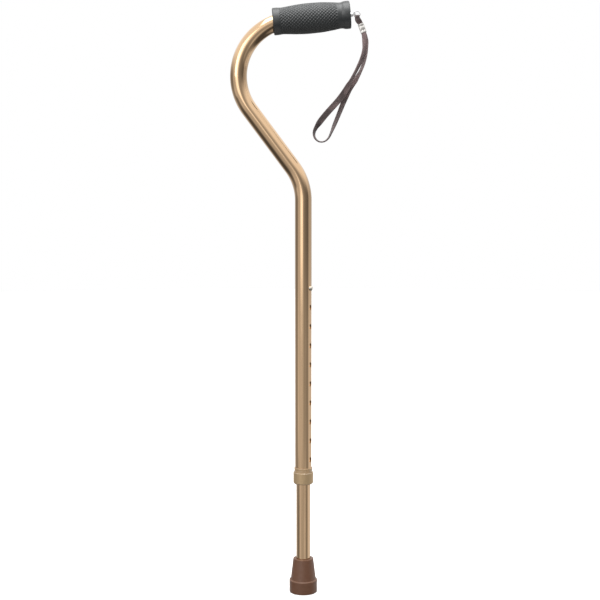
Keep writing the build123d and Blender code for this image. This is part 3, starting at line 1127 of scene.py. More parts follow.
@dataclass
class TubeShape:
    """A round tube that follows stations in the XZ plane, with an inner wall and open ends."""

    name: str
    stations: list[Station]
    outer: float
    wall: float
    lip: float = RIM_LIP
    segments: int = 96
    sharp: float = math.radians(40.0)
    true_enough: float = 0.00002

    def ring(self, station: Station, radius: float) -> list[Vector]:
        """Gives one ring of points.

        Args:
            station: Where the ring is.
            radius: Its radius.

        Returns:
            Its points, from the side that faces +X.
        """
        return circle(station.at, Y_AXIS.cross(station.along), Y_AXIS, radius, self.segments)

    def build(self) -> bpy.types.Object:
        """Builds the tube as one closed wall, with its two rims softly broken."""
        first, last = self.stations[0], self.stations[-1]
        rings, lengths, worn = [], [], []

        def lay(station: Station, radius: float, slide: float, rubbed: float) -> None:
            moved = Station(station.at + station.along * slide, station.along, station.length)
            rings.append(self.ring(moved, radius))
            lengths.append(station.length + slide)
            worn.append(rubbed)

        lay(first, self.outer - self.lip, 0.0, 1.0)
        lay(first, self.outer, self.lip, 0.6)
        for station in self.stations[1:-1]:
            lay(station, self.outer, 0.0, 0.0)
        lay(last, self.outer, -self.lip, 0.6)
        lay(last, self.outer - self.lip, 0.0, 1.0)
        inner = self.outer - self.wall
        lay(last, inner, 0.0, 0.5)
        for station in reversed(self.stations[1:-1]):
            lay(station, inner, 0.0, 0.0)
        lay(first, inner, 0.0, 0.5)
        lengths.append(lengths[0])
        return skin(self.name, rings, lengths, wrap=True, worn=worn)

    def round_off(self, piece: bpy.types.Object, low: float, high: float) -> None:
        """Gives the drilled straight walls the normals of a true cylinder.

        Args:
            piece: The tube, drilled.
            low: The straight's lowest height.
            high: Its highest.
        """
        mesh = piece.data
        for face in mesh.polygons:
            face.use_smooth = True
        mesh.set_sharp_from_angle(angle=self.sharp)
        normals = [(0.0, 0.0, 0.0)] * len(mesh.loops)
        for radius, sign in ((self.outer, 1.0), (self.outer - self.wall, -1.0)):
            for face in mesh.polygons:
                points = [mesh.vertices[index].co for index in face.vertices]
                on_wall = (abs(math.hypot(p.x, p.y) - radius) < self.true_enough for p in points)
                if not (all(on_wall) and all(low < p.z < high for p in points)):
                    continue
                for loop, point in zip(face.loop_indices, points):
                    normals[loop] = (sign * point.x / radius, sign * point.y / radius, 0.0)
        mesh.normals_split_custom_set(normals)


@dataclass
class HandleTube:
    """The upper tube: a straight shaft with ten height holes, bent twice into an offset handle."""

    bend_radius: float = 0.073
    slant: float = math.radians(36.7)
    slant_run: float = 0.0936
    grip_tilt: float = math.radians(5.0)
    grip_run: float = 0.0777
    wall: float = 0.0012
    hole_radius: float = 0.0033
    hole_pitch: float = 0.0254
    hole_count: int = 10
    hole_azimuth: float = HOLE_AZIMUTH
    straight_above_button: float = 0.1155
    step: float = 0.0025

    def __post_init__(self) -> None:
        """Reads the tube's size and place off the frame."""
        low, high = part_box("handle_tube")
        self.bottom = low.z
        self.radius = high.y
        button_low, button_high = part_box("snap_button")
        self.button_height = (button_low.z + button_high.z) / 2
        self.straight_top = self.button_height + self.straight_above_button

    def stations(self) -> list[Station]:
        """Lays stations along the straight, the two bends and the two runs above them."""
        made = [Station(Vector((0, 0, self.bottom)), Z_AXIS, 0.0)]
        heading = math.pi / 2

        def run(length: float) -> None:
            start = made[-1]
            count = max(1, round(length / self.step))
            for index in range(1, count + 1):
                moved = length * index / count
                made.append(Station(start.at + start.along * moved, start.along, start.length + moved))

        def bend(turn: float) -> None:
            nonlocal heading
            start = made[-1]
            side = math.copysign(1.0, turn)
            middle = start.at + Vector((-math.sin(heading), 0, math.cos(heading))) * side * self.bend_radius
            count = round(self.bend_radius * abs(turn) / self.step)
            for index in range(1, count + 1):
                angle = heading + turn * index / count
                out = Vector((math.sin(angle), 0, -math.cos(angle))) * side
                along = Vector((math.cos(angle), 0, math.sin(angle)))
                length = start.length + self.bend_radius * abs(turn) * index / count
                made.append(Station(middle + out * self.bend_radius, along, length))
            heading += turn

        run(self.straight_top - self.bottom)
        bend(self.slant)
        run(self.slant_run)
        bend(self.grip_tilt - heading)
        run(self.grip_run)
        return made

    def build(self, wardrobe: Wardrobe, drill: GeometryTree) -> bpy.types.Object:
        """Builds the tube and drills its row of holes.

        Args:
            wardrobe: Where its material comes from.
            drill: The tree that drills a row.

        Returns:
            The tube.
        """
        shape = TubeShape("upper_tube", self.stations(), self.radius, self.wall)
        piece = shape.build()
        drill.apply(
            piece,
            Hole_Radius=self.hole_radius,
            Pitch=self.hole_pitch,
            Lowest=self.button_height - (self.hole_count - 1) * self.hole_pitch,
            Azimuth=self.hole_azimuth,
            Tube_Radius=self.radius,
            Count=self.hole_count,
            Material=wardrobe.material(Slot.TUBE),
        )
        shape.round_off(piece, self.bottom + 0.001, self.straight_top - 0.001)
        return dress(piece, wardrobe, Slot.TUBE, Body.HANDLE, ["handle_tube"])


@dataclass
class LowerTube:
    """The lower tube, with the one hole that its snap button stands out of."""

    wall: float = 0.00125
    hole_radius: float = 0.0033
    hole_azimuth: float = HOLE_AZIMUTH
    step: float = 0.003

    def build(self, wardrobe: Wardrobe, drill: GeometryTree) -> bpy.types.Object:
        """Builds the tube and drills its hole.

        Args:
            wardrobe: Where its material comes from.
            drill: The tree that drills a row.

        Returns:
            The tube.
        """
        low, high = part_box("lower_tube")
        button_low, button_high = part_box("snap_button")
        count = round((high.z - low.z) / self.step)
        stations = []
        for index in range(count + 1):
            length = (high.z - low.z) * index / count
            stations.append(Station(Vector((0, 0, low.z + length)), Z_AXIS, length))
        shape = TubeShape("inner_tube", stations, high.y, self.wall)
        piece = shape.build()
        drill.apply(
            piece,
            Hole_Radius=self.hole_radius,
            Pitch=0.0,
            Lowest=(button_low.z + button_high.z) / 2,
            Azimuth=self.hole_azimuth,
            Tube_Radius=high.y,
            Count=1,
            Material=wardrobe.material(Slot.TUBE),
        )
        shape.round_off(piece, low.z + 0.001, high.z - 0.001)
        return dress(piece, wardrobe, Slot.TUBE, Body.SHAFT, ["lower_tube"])


# ---------------------------------------------------------------- the handle's end


@dataclass
class HandleEnd:
    """Places and directions at the handle's free end, worked out from the frame."""

    lean: float = math.radians(5.0)
    ring_stand_off: float = 0.0089
    strap_lean: float = math.radians(20.5)

    def __post_init__(self) -> None:
        """Reads the ring's place off the frame."""
        low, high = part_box("strap_ring")
        self.ring_centre = (low + high) / 2
        self.wire = high.y
        self.ring_radius = (high.x - low.x) / 2 - self.wire
        self.out = Vector((math.cos(self.lean), 0, math.sin(self.lean)))
        self.face = self.ring_centre - self.out * self.ring_stand_off
        self.down = Vector((math.sin(self.strap_lean), 0, -math.cos(self.strap_lean)))
        self.across = Vector((math.cos(self.strap_lean), 0, math.sin(self.strap_lean)))


def smooth_through(keys: Sequence[tuple[float, float]], at: float) -> float:
    """Reads a smooth curve through key points, flat at its ends and never overshooting.

    Args:
        keys: Places and values, in order.
        at: The place to read.

    Returns:
        The value there.
    """
    if at <= keys[0][0]:
        return keys[0][1]
    slopes = [0.0]
    for before, here, after in zip(keys, keys[1:], keys[2:]):
        left = (here[1] - before[1]) / (here[0] - before[0])
        right = (after[1] - here[1]) / (after[0] - here[0])
        slopes.append(0.0 if left * right <= 0 else 2 * left * right / (left + right))
    slopes.append(0.0)
    for index, (start, end) in enumerate(zip(keys, keys[1:])):
        if at <= end[0]:
            run = end[0] - start[0]
            share = (at - start[0]) / run
            rise = 3 * share**2 - 2 * share**3
            lead = (share - 2 * share**2 + share**3) * run * slopes[index]
            tail = (share**3 - share**2) * run * slopes[index + 1]
            return start[1] + (end[1] - start[1]) * rise + lead + tail
    return keys[-1][1]


@dataclass
class HandGrip:
    """The moulded grip: a palm swell between two necks and two smooth flanges, cross-hatched."""

    tilt: float = math.radians(5.2)
    length: float = 0.1013
    flange: float = 0.0180
    neck: float = 0.0167
    swell: float = 0.0196
    end_round: float = 0.0016
    hatch_pitch: float = 0.0046
    hatch_depth: float = 0.0008
    hatch_groove: float = 0.22
    hatch_count: int = 27
    hatch_from: float = 0.0165
    hatch_to: float = 0.0925
    hatch_fade: float = 0.0012
    segments: int = 280
    step: float = 0.00044

    def half_width(self, along: float) -> float:
        """Gives the grip's radius at a distance from its free end."""
        keys = [
            (0.0000, self.flange - 0.0001),
            (0.0045, self.flange),
            (0.0075, self.flange - 0.0002),
            (0.0120, self.neck),
            (0.0232, self.neck + 0.0012),
            (0.0392, self.swell - 0.0003),
            (0.0550, self.swell),
            (0.0712, self.swell - 0.0008),
            (0.0846, self.neck + 0.0008),
            (0.0899, self.neck + 0.0004),
            (0.0953, self.neck + 0.0009),
            (self.length, self.neck + 0.0009),
        ]
        return smooth_through(keys, along)

    def outline(self) -> list[tuple[float, float, float]]:
        """Gives the outline from pole to pole as distance from the free end, radius and wear."""
        made = [(0.0, 0.0, 0.0)]
        face_rings, arc_steps = 12, 6
        for index in range(1, face_rings):
            made.append((0.0, (self.half_width(0.0) - self.end_round) * index / face_rings, 0.0))
        for index in range(arc_steps + 1):
            turn = math.pi / 2 * index / arc_steps
            along = self.end_round * (1 - math.cos(turn))
            sunk = self.end_round * (1 - math.sin(turn))
            made.append((along, self.half_width(along) - sunk, math.sin(2 * turn)))
        walls = round((self.length - 2 * self.end_round) / self.step)
        for index in range(1, walls):
            along = self.end_round + (self.length - 2 * self.end_round) * index / walls
            made.append((along, self.half_width(along), 0.0))
        for along, radius, rubbed in reversed(made[: face_rings + arc_steps + 1]):
            shrink = self.half_width(self.length) / self.half_width(0.0)
            made.append((self.length - along, radius * shrink, rubbed))
        return made

    def build(self, wardrobe: Wardrobe, end: HandleEnd, hatch: GeometryTree) -> bpy.types.Object:
        """Builds the grip and raises its cross-hatch.

        Args:
            wardrobe: Where its material comes from.
            end: The handle's end.
            hatch: The tree that raises a cross-hatch.

        Returns:
            The grip.
        """
        back = Vector((-math.cos(self.tilt), 0, -math.sin(self.tilt)))
        up = Vector((-math.sin(self.tilt), 0, math.cos(self.tilt)))
        rings, lengths, worn = [], [], []
        for along, radius, rubbed in self.outline():
            rings.append(circle(end.face + back * along, up, Y_AXIS, radius, self.segments))
            lengths.append(along)
            worn.append(rubbed)
        piece = skin("grip_sleeve", rings, lengths, worn=worn)
        hatch.apply(
            piece,
            Pitch=self.hatch_pitch,
            Depth=self.hatch_depth,
            Groove=self.hatch_groove,
            From=self.hatch_from,
            To=self.hatch_to,
            Fade=self.hatch_fade,
            Count=self.hatch_count,
            Material=wardrobe.material(Slot.GRIP),
        )
        return dress(piece, wardrobe, Slot.GRIP, Body.HANDLE, ["hand_grip"])


# ---------------------------------------------------------------- collar, bush and tip


@dataclass
class CollarAndBush:
    """The split bush under the upper tube and the collar that squeezes it onto the lower one."""

    tube_radius: float = 0.0111
    mouth: float = 0.0100
    chamfer: float = 0.0013
    edge: float = 0.0003
    thread_crest: float = 0.00022
    thread_lead: float = 0.0014
    segments: int = 128

    def build(self, wardrobe: Wardrobe, wind: GeometryTree) -> list[bpy.types.Object]:
        """Builds the bush with its thread, and the collar.

        Args:
            wardrobe: Where their materials come from.
            wind: The tree that winds a thread.

        Returns:
            The bush and the collar.
        """
        bush_low, bush_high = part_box("collet_bush")
        low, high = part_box("locking_collar")
        shoulder = high.z + 0.0008
        outer = bush_high.y
        root = outer - 0.0003
        bush = turned(
            "split_bush",
            [
                Corner(self.tube_radius + 0.00005, bush_high.z, 0.0002),
                Corner(self.tube_radius + 0.00005, low.z + 0.0092),
                Corner(self.mouth - 0.0001, low.z + 0.0085),
                Corner(self.mouth - 0.0001, bush_low.z, 0.0002),
                Corner(outer - 0.0009, bush_low.z, 0.0002),
                Corner(outer - 0.0009, high.z - 0.004, 0.0002),
                Corner(root, high.z - 0.0035, 0.0002),
                Corner(root, bush_high.z - 0.0024, 0.0001),
                Corner(outer, bush_high.z - 0.0020, 0.0002),
                Corner(outer, bush_high.z, 0.0006),
            ],
            self.segments,
        )
        wind.apply(
            bush,
            Radius=root,
            Lead=self.thread_lead,
            Turns=(bush_high.z - 0.0026 - shoulder) / self.thread_lead,
            Bottom=shoulder,
            Crest=self.thread_crest,
            Material=wardrobe.material(Slot.BUSH),
        )
        collar = turned(
            "turning_collar",
            [
                Corner(outer + 0.00005, high.z, 0.0003),
                Corner(outer + 0.00005, low.z + 0.0035),
                Corner(self.mouth, low.z + 0.0015, 0.0002),
                Corner(self.mouth, low.z, 0.0003),
                Corner(high.y - self.chamfer, low.z, self.edge),
                Corner(high.y, low.z + self.chamfer, self.edge),
                Corner(high.y, high.z, 0.0005),
            ],
            self.segments,
        )
        return [
            dress(bush, wardrobe, Slot.BUSH, Body.HANDLE, ["collet_bush"]),
            dress(collar, wardrobe, Slot.COLLAR, Body.COLLAR, ["locking_collar"]),
        ]


@dataclass
class RubberTip:
    """The rubber ferrule: a cone that steps out to a broad base, with ring treads below."""

    base: float = 0.01833
    base_height: float = 0.0168
    cone: float = 0.0167
    rim: float = 0.0134
    bore_floor: float = 0.0105
    tread_pitch: float = 0.004664
    tread_width: float = 0.0019
    tread_depth: float = 0.0012
    tread_count: int = 3
    segments: int = 144

    def corners(self, lip: float, top: float, bore: float) -> list[Corner]:
        """Gives the outline from the pole below to the pole of the bore's floor.

        Args:
            lip: The radius of the base's lip.
            top: The height of the rim.
            bore: The bore's radius.

        Returns:
            The outline's corners.
        """
        made = [Corner(0.0, 0.0)]
        for index in range(self.tread_count):
            near = self.tread_pitch * (index + 0.5)
            far = near + self.tread_width
            made += [
                Corner(near, 0.0, 0.0002),
                Corner(near, self.tread_depth, 0.0002),
                Corner(far, self.tread_depth, 0.0002),
                Corner(far, 0.0, 0.0002),
            ]
        return made + [
            Corner(self.base, 0.0, 0.0013),
            Corner(lip, self.base_height, 0.0010),
            Corner(self.cone + 0.0002, self.base_height + 0.0004, 0.0007),
            Corner(self.rim + 0.0002, top - 0.0016, 0.0003),
            Corner(self.rim, top, 0.0005),
            Corner(bore, top, 0.0005),
            Corner(bore, self.bore_floor, 0.0003),
            Corner(0.0, self.bore_floor),
        ]

    def build(self, wardrobe: Wardrobe) -> bpy.types.Object:
        """Builds the tip.

        Args:
            wardrobe: Where its material comes from.

        Returns:
            The tip.
        """
        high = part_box("rubber_tip")[1]
        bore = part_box("lower_tube")[1].y
        piece = turned("tip_ferrule", self.corners(high.y, high.z, bore), self.segments)
        return dress(piece, wardrobe, Slot.TIP, Body.SHAFT, ["rubber_tip"])


@dataclass
class LeafSpring:
    """The folded strip inside the lower tube, whose button leg bends as the button goes in; here it keeps the
    frame's shape.
    """

    azimuth: float = HOLE_AZIMUTH
    weld: float = 0.000001
    still: tuple[float, float] = (0.0080, 0.0040)
    free: tuple[float, float] = (0.0148, 0.0074)
    foot: float = 0.0012
    sharp: float = math.radians(35.0)

    def build(self, frame: dict, wardrobe: Wardrobe) -> bpy.types.Object:
        """Copies the frame's spring as it is and gives it its material.

        Args:
            frame: What the frame loader gave.
            wardrobe: Where its material comes from.

        Returns:
            The spring.
        """
        work = bmesh.new()
        work.from_mesh(frame["nodes"]["button_spring"].data)
        bmesh.ops.remove_doubles(work, verts=work.verts, dist=self.weld)
        piece = closed_piece("leaf_spring", work)
        piece.data.set_sharp_from_angle(angle=self.sharp)
        piece.data.materials.clear()
        piece.data.materials.append(wardrobe.material(Slot.SPRING))
        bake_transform(piece)
        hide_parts("button_spring")
        log.info("%s: bends between the shaft and the button", piece.name)
        return piece


# ---------------------------------------------------------------- wrist strap


@dataclass
class JumpRing:
    """The bright wire ring between the pin's eye and the strap, with its butted gap."""

    gap: float = math.radians(7.0)
    gap_at: float = math.radians(38.0)
    turn_steps: int = 72
    wire_steps: int = 20

    def build(self, wardrobe: Wardrobe, end: HandleEnd) -> bpy.types.Object:
        """Builds the ring.

        Args:
            wardrobe: Where its material comes from.
            end: The handle's end.

        Returns:
            The ring.
        """
        rings, lengths, worn = [], [], []
        sweep = FULL_TURN - self.gap
        nose = 0.00016
        places = [(0.0, 0.0), (0.0, end.wire - nose)]
        whole = sweep * end.ring_radius
        for index in range(self.turn_steps + 1):
            places.append((nose + (whole - 2 * nose) * index / self.turn_steps, end.wire))
        places += [(whole, end.wire - nose), (whole, 0.0)]
        for length, wire in places:
            angle = self.gap_at + self.gap / 2 + length / end.ring_radius
            out = Vector((math.cos(angle), 0, math.sin(angle)))
            middle = end.ring_centre + out * end.ring_radius
            rings.append(circle(middle, out, Y_AXIS, wire, self.wire_steps))
            lengths.append(length)
            worn.append(1.0 if wire < end.wire else 0.0)
        piece = skin("jump_ring", rings, lengths, worn=worn)
        return dress(piece, wardrobe, Slot.CHROME, Body.RING, ["strap_ring"])


@dataclass
class Ribbon:
    """A flat woven band laid along a line, turned about it as it goes."""

    name: str
    path: list[Vector]
    faces: list[Vector]
    widths: list[float]
    thickness: float
    side_points: int = 10
    edge_points: int = 4

    def section(self, width: float) -> list[tuple[float, float]]:
        """Gives the band's section as points across and through it, with full round edges."""
        half, deep = width / 2, self.thickness / 2
        made = []
        for side in (1, -1):
            for index in range(self.side_points):
                share = index / self.side_points
                made.append((side * (half - deep) * (1 - 2 * share), side * deep))
            for index in range(self.edge_points):
                turn = math.pi * index / self.edge_points
                made.append((-side * (half - deep + deep * math.sin(turn)), side * deep * math.cos(turn)))
        return made

    def build(self) -> bpy.types.Object:
        """Builds the band, closed at both ends.

        Returns:
            The band.
        """
        rings, lengths = [], []
        length = 0.0
        last = len(self.path) - 1
        for index, point in enumerate(self.path):
            before, after = self.path[max(index - 1, 0)], self.path[min(index + 1, last)]
            along = (after - before).normalized()
            across = self.faces[index] - along * self.faces[index].dot(along)
            across.normalize()
            through = along.cross(across)
            if index:
                length += (point - self.path[index - 1]).length
            shape = self.section(self.widths[index])
            ring = [point + across * a + through * t for a, t in shape]
            if index in (0, last):
                rings += [[point] * len(shape), ring] if index == 0 else [ring, [point] * len(shape)]
                lengths += [length, length]
            else:
                rings.append(ring)
                lengths.append(length)
        return skin(self.name, rings, lengths, 2 * (max(self.widths) + self.thickness))


@dataclass
class WristStrap:
    """The webbing loop: a fold through the ring, a pressed crimp, and the hanging loop."""

    width: float = 0.0080
    thickness: float = 0.0015
    length: float = 0.342
    crimp_top: float = 0.0136
    crimp_length: float = 0.0120
    crimp_half_width: float = 0.00395
    crimp_half_depth: float = 0.0023
    crimp_wall: float = 0.0006
    crimp_squareness: float = 0.5
    dent_rows: tuple[float, float] = (0.0032, 0.0088)
    dent_across: float = 0.0017
    dent_reach: tuple[float, float] = (0.0013, 0.0010)
    dent_depth: float = 0.00045
    seam_width: float = 0.00025
    seam_depth: float = 0.0003
    fold_width: float = 0.0060
    fold_fullness: float = 0.0012
    fold_swing: float = math.radians(16.0)
    yarn: float = 0.0011
    yarn_depth: float = 0.00006
    spread: float = 0.0015
    pinched: float = 0.0008

    def route(self, end: HandleEnd) -> list[Vector]:
        """Gives the loop's control points, down one side and up the other.

        Args:
            end: The handle's end.

        Returns:
            The points, from the crimp back to the crimp.
        """
        start = self.crimp_top + self.crimp_length / 2
        leave = self.crimp_top + self.crimp_length + 0.005
        hung = [
            (0.0100, -0.0450, -0.0015), (0.0066, -0.0576, -0.0020), (0.0004, -0.0709, -0.0026),
            (-0.0070, -0.0848, -0.0030), (-0.0143, -0.0988, -0.0032), (-0.0245, -0.1128, -0.0030),
            (-0.0358, -0.1248, -0.0026), (-0.0454, -0.1359, -0.0020), (-0.0524, -0.1455, -0.0014),
            (-0.0564, -0.1533, -0.0008), (-0.0555, -0.1609, -0.0003), (-0.0498, -0.1661, 0.0000),
            (-0.0421, -0.1659, 0.0003), (-0.0365, -0.1608, 0.0008), (-0.0330, -0.1530, 0.0014),
            (-0.0290, -0.1430, 0.0020), (-0.0246, -0.1324, 0.0026), (-0.0200, -0.1211, 0.0030),
            (-0.0150, -0.1079, 0.0032), (-0.0090, -0.0948, 0.0030), (0.0008, -0.0815, 0.0026),
            (0.0078, -0.0677, 0.0020), (0.0112, -0.0542, 0.0016), (0.0120, -0.0420, 0.0015),
        ]
        made = [end.down * start - Y_AXIS * self.pinched, end.down * leave - Y_AXIS * self.spread]
        made += [Vector((x, y, z)) for x, z, y in hung]
        made += [end.down * leave + Y_AXIS * self.spread, end.down * start + Y_AXIS * self.pinched]
        return [end.ring_centre + point for point in made]

    def line(self, end: HandleEnd) -> list[Vector]:
        """Lays a smooth spline over the route and reads the points along it.

        Args:
            end: The handle's end.

        Returns:
            The points, close together, from crimp to crimp.
        """
        data = bpy.data.curves.new("strap_route", "CURVE")
        data.dimensions = "3D"
        points = self.route(end)
        spline = data.splines.new("NURBS")
        spline.points.add(len(points) - 1)
        for control, place in zip(spline.points, points):
            control.co = (*place, 1.0)
        spline.order_u = 3
        spline.use_endpoint_u = True
        spline.resolution_u = 48
        holder = bpy.data.objects.new("strap_route", data)
        bpy.context.scene.collection.objects.link(holder)
        depsgraph = bpy.context.evaluated_depsgraph_get()
        mesh = bpy.data.meshes.new_from_object(holder.evaluated_get(depsgraph))
        made = [vert.co.copy() for vert in mesh.vertices]
        bpy.data.objects.remove(holder)
        bpy.data.meshes.remove(mesh)
        return made

    def woven(
        self, piece: bpy.types.Object, wardrobe: Wardrobe, weave: GeometryTree, node: str
    ) -> bpy.types.Object:
        """Raises a band's yarns and dresses it.

        Args:
            piece: The band.
            wardrobe: Where its material comes from.
            weave: The tree that raises the yarns.
            node: The frame's node that it stands for.

        Returns:
            The band.
        """
        weave.apply(
            piece,
            Yarn=self.yarn,
            Depth=self.yarn_depth,
            Girth=2 * (self.width + self.thickness),
            Material=wardrobe.material(Slot.WEBBING),
        )
        return dress(piece, wardrobe, Slot.WEBBING, Body.STRAP, [node])

    def loop(self, end: HandleEnd, wardrobe: Wardrobe, weave: GeometryTree) -> tuple:
        """Builds the hanging loop of webbing.

        Args:
            end: The handle's end.
            wardrobe: Where its material comes from.
            weave: The tree that raises the yarns.

        Returns:
            The loop and the line that it follows.
        """
        path = self.line(end)
        travelled = [0.0]
        for before, after in zip(path, path[1:]):
            travelled.append(travelled[-1] + (after - before).length)
        total = travelled[-1]
        turns = [
            (0.00, 0.0), (0.04, 10.0), (0.08, 50.0), (0.14, 58.0), (0.19, 66.0),
            (0.215, 60.0), (0.245, 20.0), (0.30, 5.0), (0.40, 6.0), (0.44, 55.0),
            (0.48, 76.0), (0.515, 83.0), (0.56, 76.0), (0.60, 56.0), (0.68, 40.0),
            (0.73, 15.0), (0.78, 16.0), (0.81, 50.0), (0.84, 64.0), (0.92, 50.0),
            (0.96, 10.0), (1.00, 0.0),
        ]
        tucked = (2 * (self.crimp_half_width - self.crimp_wall)) - 0.0002
        widths, faces = [], []
        last = len(path) - 1
        for index, run in enumerate(travelled):
            share = run / total
            nearest = min(run, total - run)
            freed = min(max((nearest - self.crimp_length / 2) / self.crimp_length, 0.0), 1.0)
            widths.append(tucked + (self.width - tucked) * freed)
            along = (path[min(index + 1, last)] - path[max(index - 1, 0)]).normalized()
            flat = along.cross(Y_AXIS).normalized()
            if share > 0.5:
                flat.negate()
            angle = math.radians(smooth_through(turns, share))
            side = Y_AXIS if share <= 0.5 else -Y_AXIS
            faces.append(flat * math.cos(angle) + side * math.sin(angle))
        for index in range(1, len(faces)):
            if faces[index].dot(faces[index - 1]) < 0:
                faces[index].negate()
        piece = Ribbon("webbing_loop", path, faces, widths, self.thickness).build()
        return self.woven(piece, wardrobe, weave, "wrist_strap"), path

    def fold(self, end: HandleEnd, wardrobe: Wardrobe, weave: GeometryTree) -> bpy.types.Object:
        """Builds the webbing folded through the ring, with both its ends inside the crimp.

        Args:
            end: The handle's end.
            wardrobe: Where its material comes from.
            weave: The tree that raises the yarns.

        Returns:
            The fold.
        """
        bend = end.wire + 0.0008 + self.thickness / 2
        inside = self.crimp_top + self.crimp_length * 0.6
        shoulder = self.crimp_top - 0.001
        route = [(inside, -0.0009), (shoulder, -0.0010), (end.ring_radius + 0.0045, -bend * 0.98)]
        steps = 14
        for index in range(steps + 1):
            turn = math.pi * index / steps
            route.append((end.ring_radius - bend * math.sin(turn), -bend * math.cos(turn)))
        route += [(end.ring_radius + 0.0045, bend * 0.98), (shoulder, 0.0010), (inside, 0.0009)]
        fine = [route[0]]
        for before, after in zip(route, route[1:]):
            pieces = max(1, round(math.dist(before, after) / 0.0004))
            for step in range(1, pieces + 1):
                share = step / pieces
                fine.append(tuple(b + (a - b) * share for b, a in zip(before, after)))
        path, faces, widths = [], [], []
        for away, through in fine:
            straight = min(max((away - end.ring_radius) / (self.crimp_top - end.ring_radius), 0.0), 1.0)
            swung = self.fold_swing * (1 - straight * straight * (3 - 2 * straight))
            c, s = math.cos(swung), math.sin(swung)
            path.append(end.ring_centre + (end.down * c - end.across * s) * away + Y_AXIS * through)
            faces.append(end.across * c + end.down * s)
            full = math.sin(math.pi * straight)
            widths.append(self.fold_width + self.fold_fullness * full)
        piece = Ribbon("webbing_fold", path, faces, widths, self.thickness - 0.0001).build()
        return self.woven(piece, wardrobe, weave, "strap_end_loop")

    def crimp(self, end: HandleEnd, wardrobe: Wardrobe) -> bpy.types.Object:
        """Builds the flat metal sleeve, with the dents that closed it and its seam.

        Args:
            end: The handle's end.
            wardrobe: Where its material comes from.

        Returns:
            The crimp.
        """
        steps, rows = 96, 48
        rings, lengths, worn = [], [], []
        dents = [(row, side * self.dent_across) for row in self.dent_rows for side in (-1, 1)]

        def ring(along: float, shrink: float) -> list[Vector]:
            made = []
            for step in range(steps):
                turn = FULL_TURN * step / steps
                c, s = math.cos(turn), math.sin(turn)
                a = math.copysign(abs(c) ** self.crimp_squareness, c) * (self.crimp_half_width - shrink)
                y = math.copysign(abs(s) ** self.crimp_squareness, s) * (self.crimp_half_depth - shrink)
                pressed = 0.0
                for dent_along, dent_across in dents:
                    rise = (along - dent_along) / self.dent_reach[0]
                    far = math.hypot(rise, (a - dent_across) / self.dent_reach[1])
                    pressed += self.dent_depth * math.exp(-far * far)
                if s > 0:
                    pressed += self.seam_depth * math.exp(-((a / self.seam_width) ** 2))
                y -= math.copysign(min(pressed, abs(y)), y)
                place = end.ring_centre + end.down * (self.crimp_top + along)
                made.append(place + end.across * a + Y_AXIS * y)
            return made

        lip = RIM_LIP
        places = [(0.0, lip, 1.0), (lip * 0.4, lip * 0.4, 0.8)]
        places += [(lip + (self.crimp_length - 2 * lip) * i / rows, 0.0, 0.0) for i in range(rows + 1)]
        places += [(self.crimp_length - lip * 0.4, lip * 0.4, 0.8), (self.crimp_length, lip, 1.0)]
        wall = self.crimp_wall
        places += [(self.crimp_length - 0.0002, wall, 0.5)]
        places += [(self.crimp_length * (1 - i / rows), wall, 0.0) for i in range(1, rows)]
        places += [(0.0002, wall, 0.5)]
        for along, shrink, rubbed in places:
            rings.append(ring(along, shrink))
            lengths.append(along)
            worn.append(rubbed)
        lengths.append(lengths[0])
        piece = skin("pressed_crimp", rings, lengths, wrap=True, worn=worn)
        return dress(piece, wardrobe, Slot.CRIMP, Body.STRAP, ["strap_crimp"])

    def build(self, end: HandleEnd, wardrobe: Wardrobe, weave: GeometryTree) -> None:
        """Builds the whole strap: its crimp, its fold and its hanging loop.

        Args:
            end: The handle's end.
            wardrobe: Where its materials come from.
            weave: The tree that raises the yarns.
        """
        crimp = self.crimp(end, wardrobe)
        fold = self.fold(end, wardrobe, weave)
        band, path = self.loop(end, wardrobe, weave)


# ---------------------------------------------------------------- studio


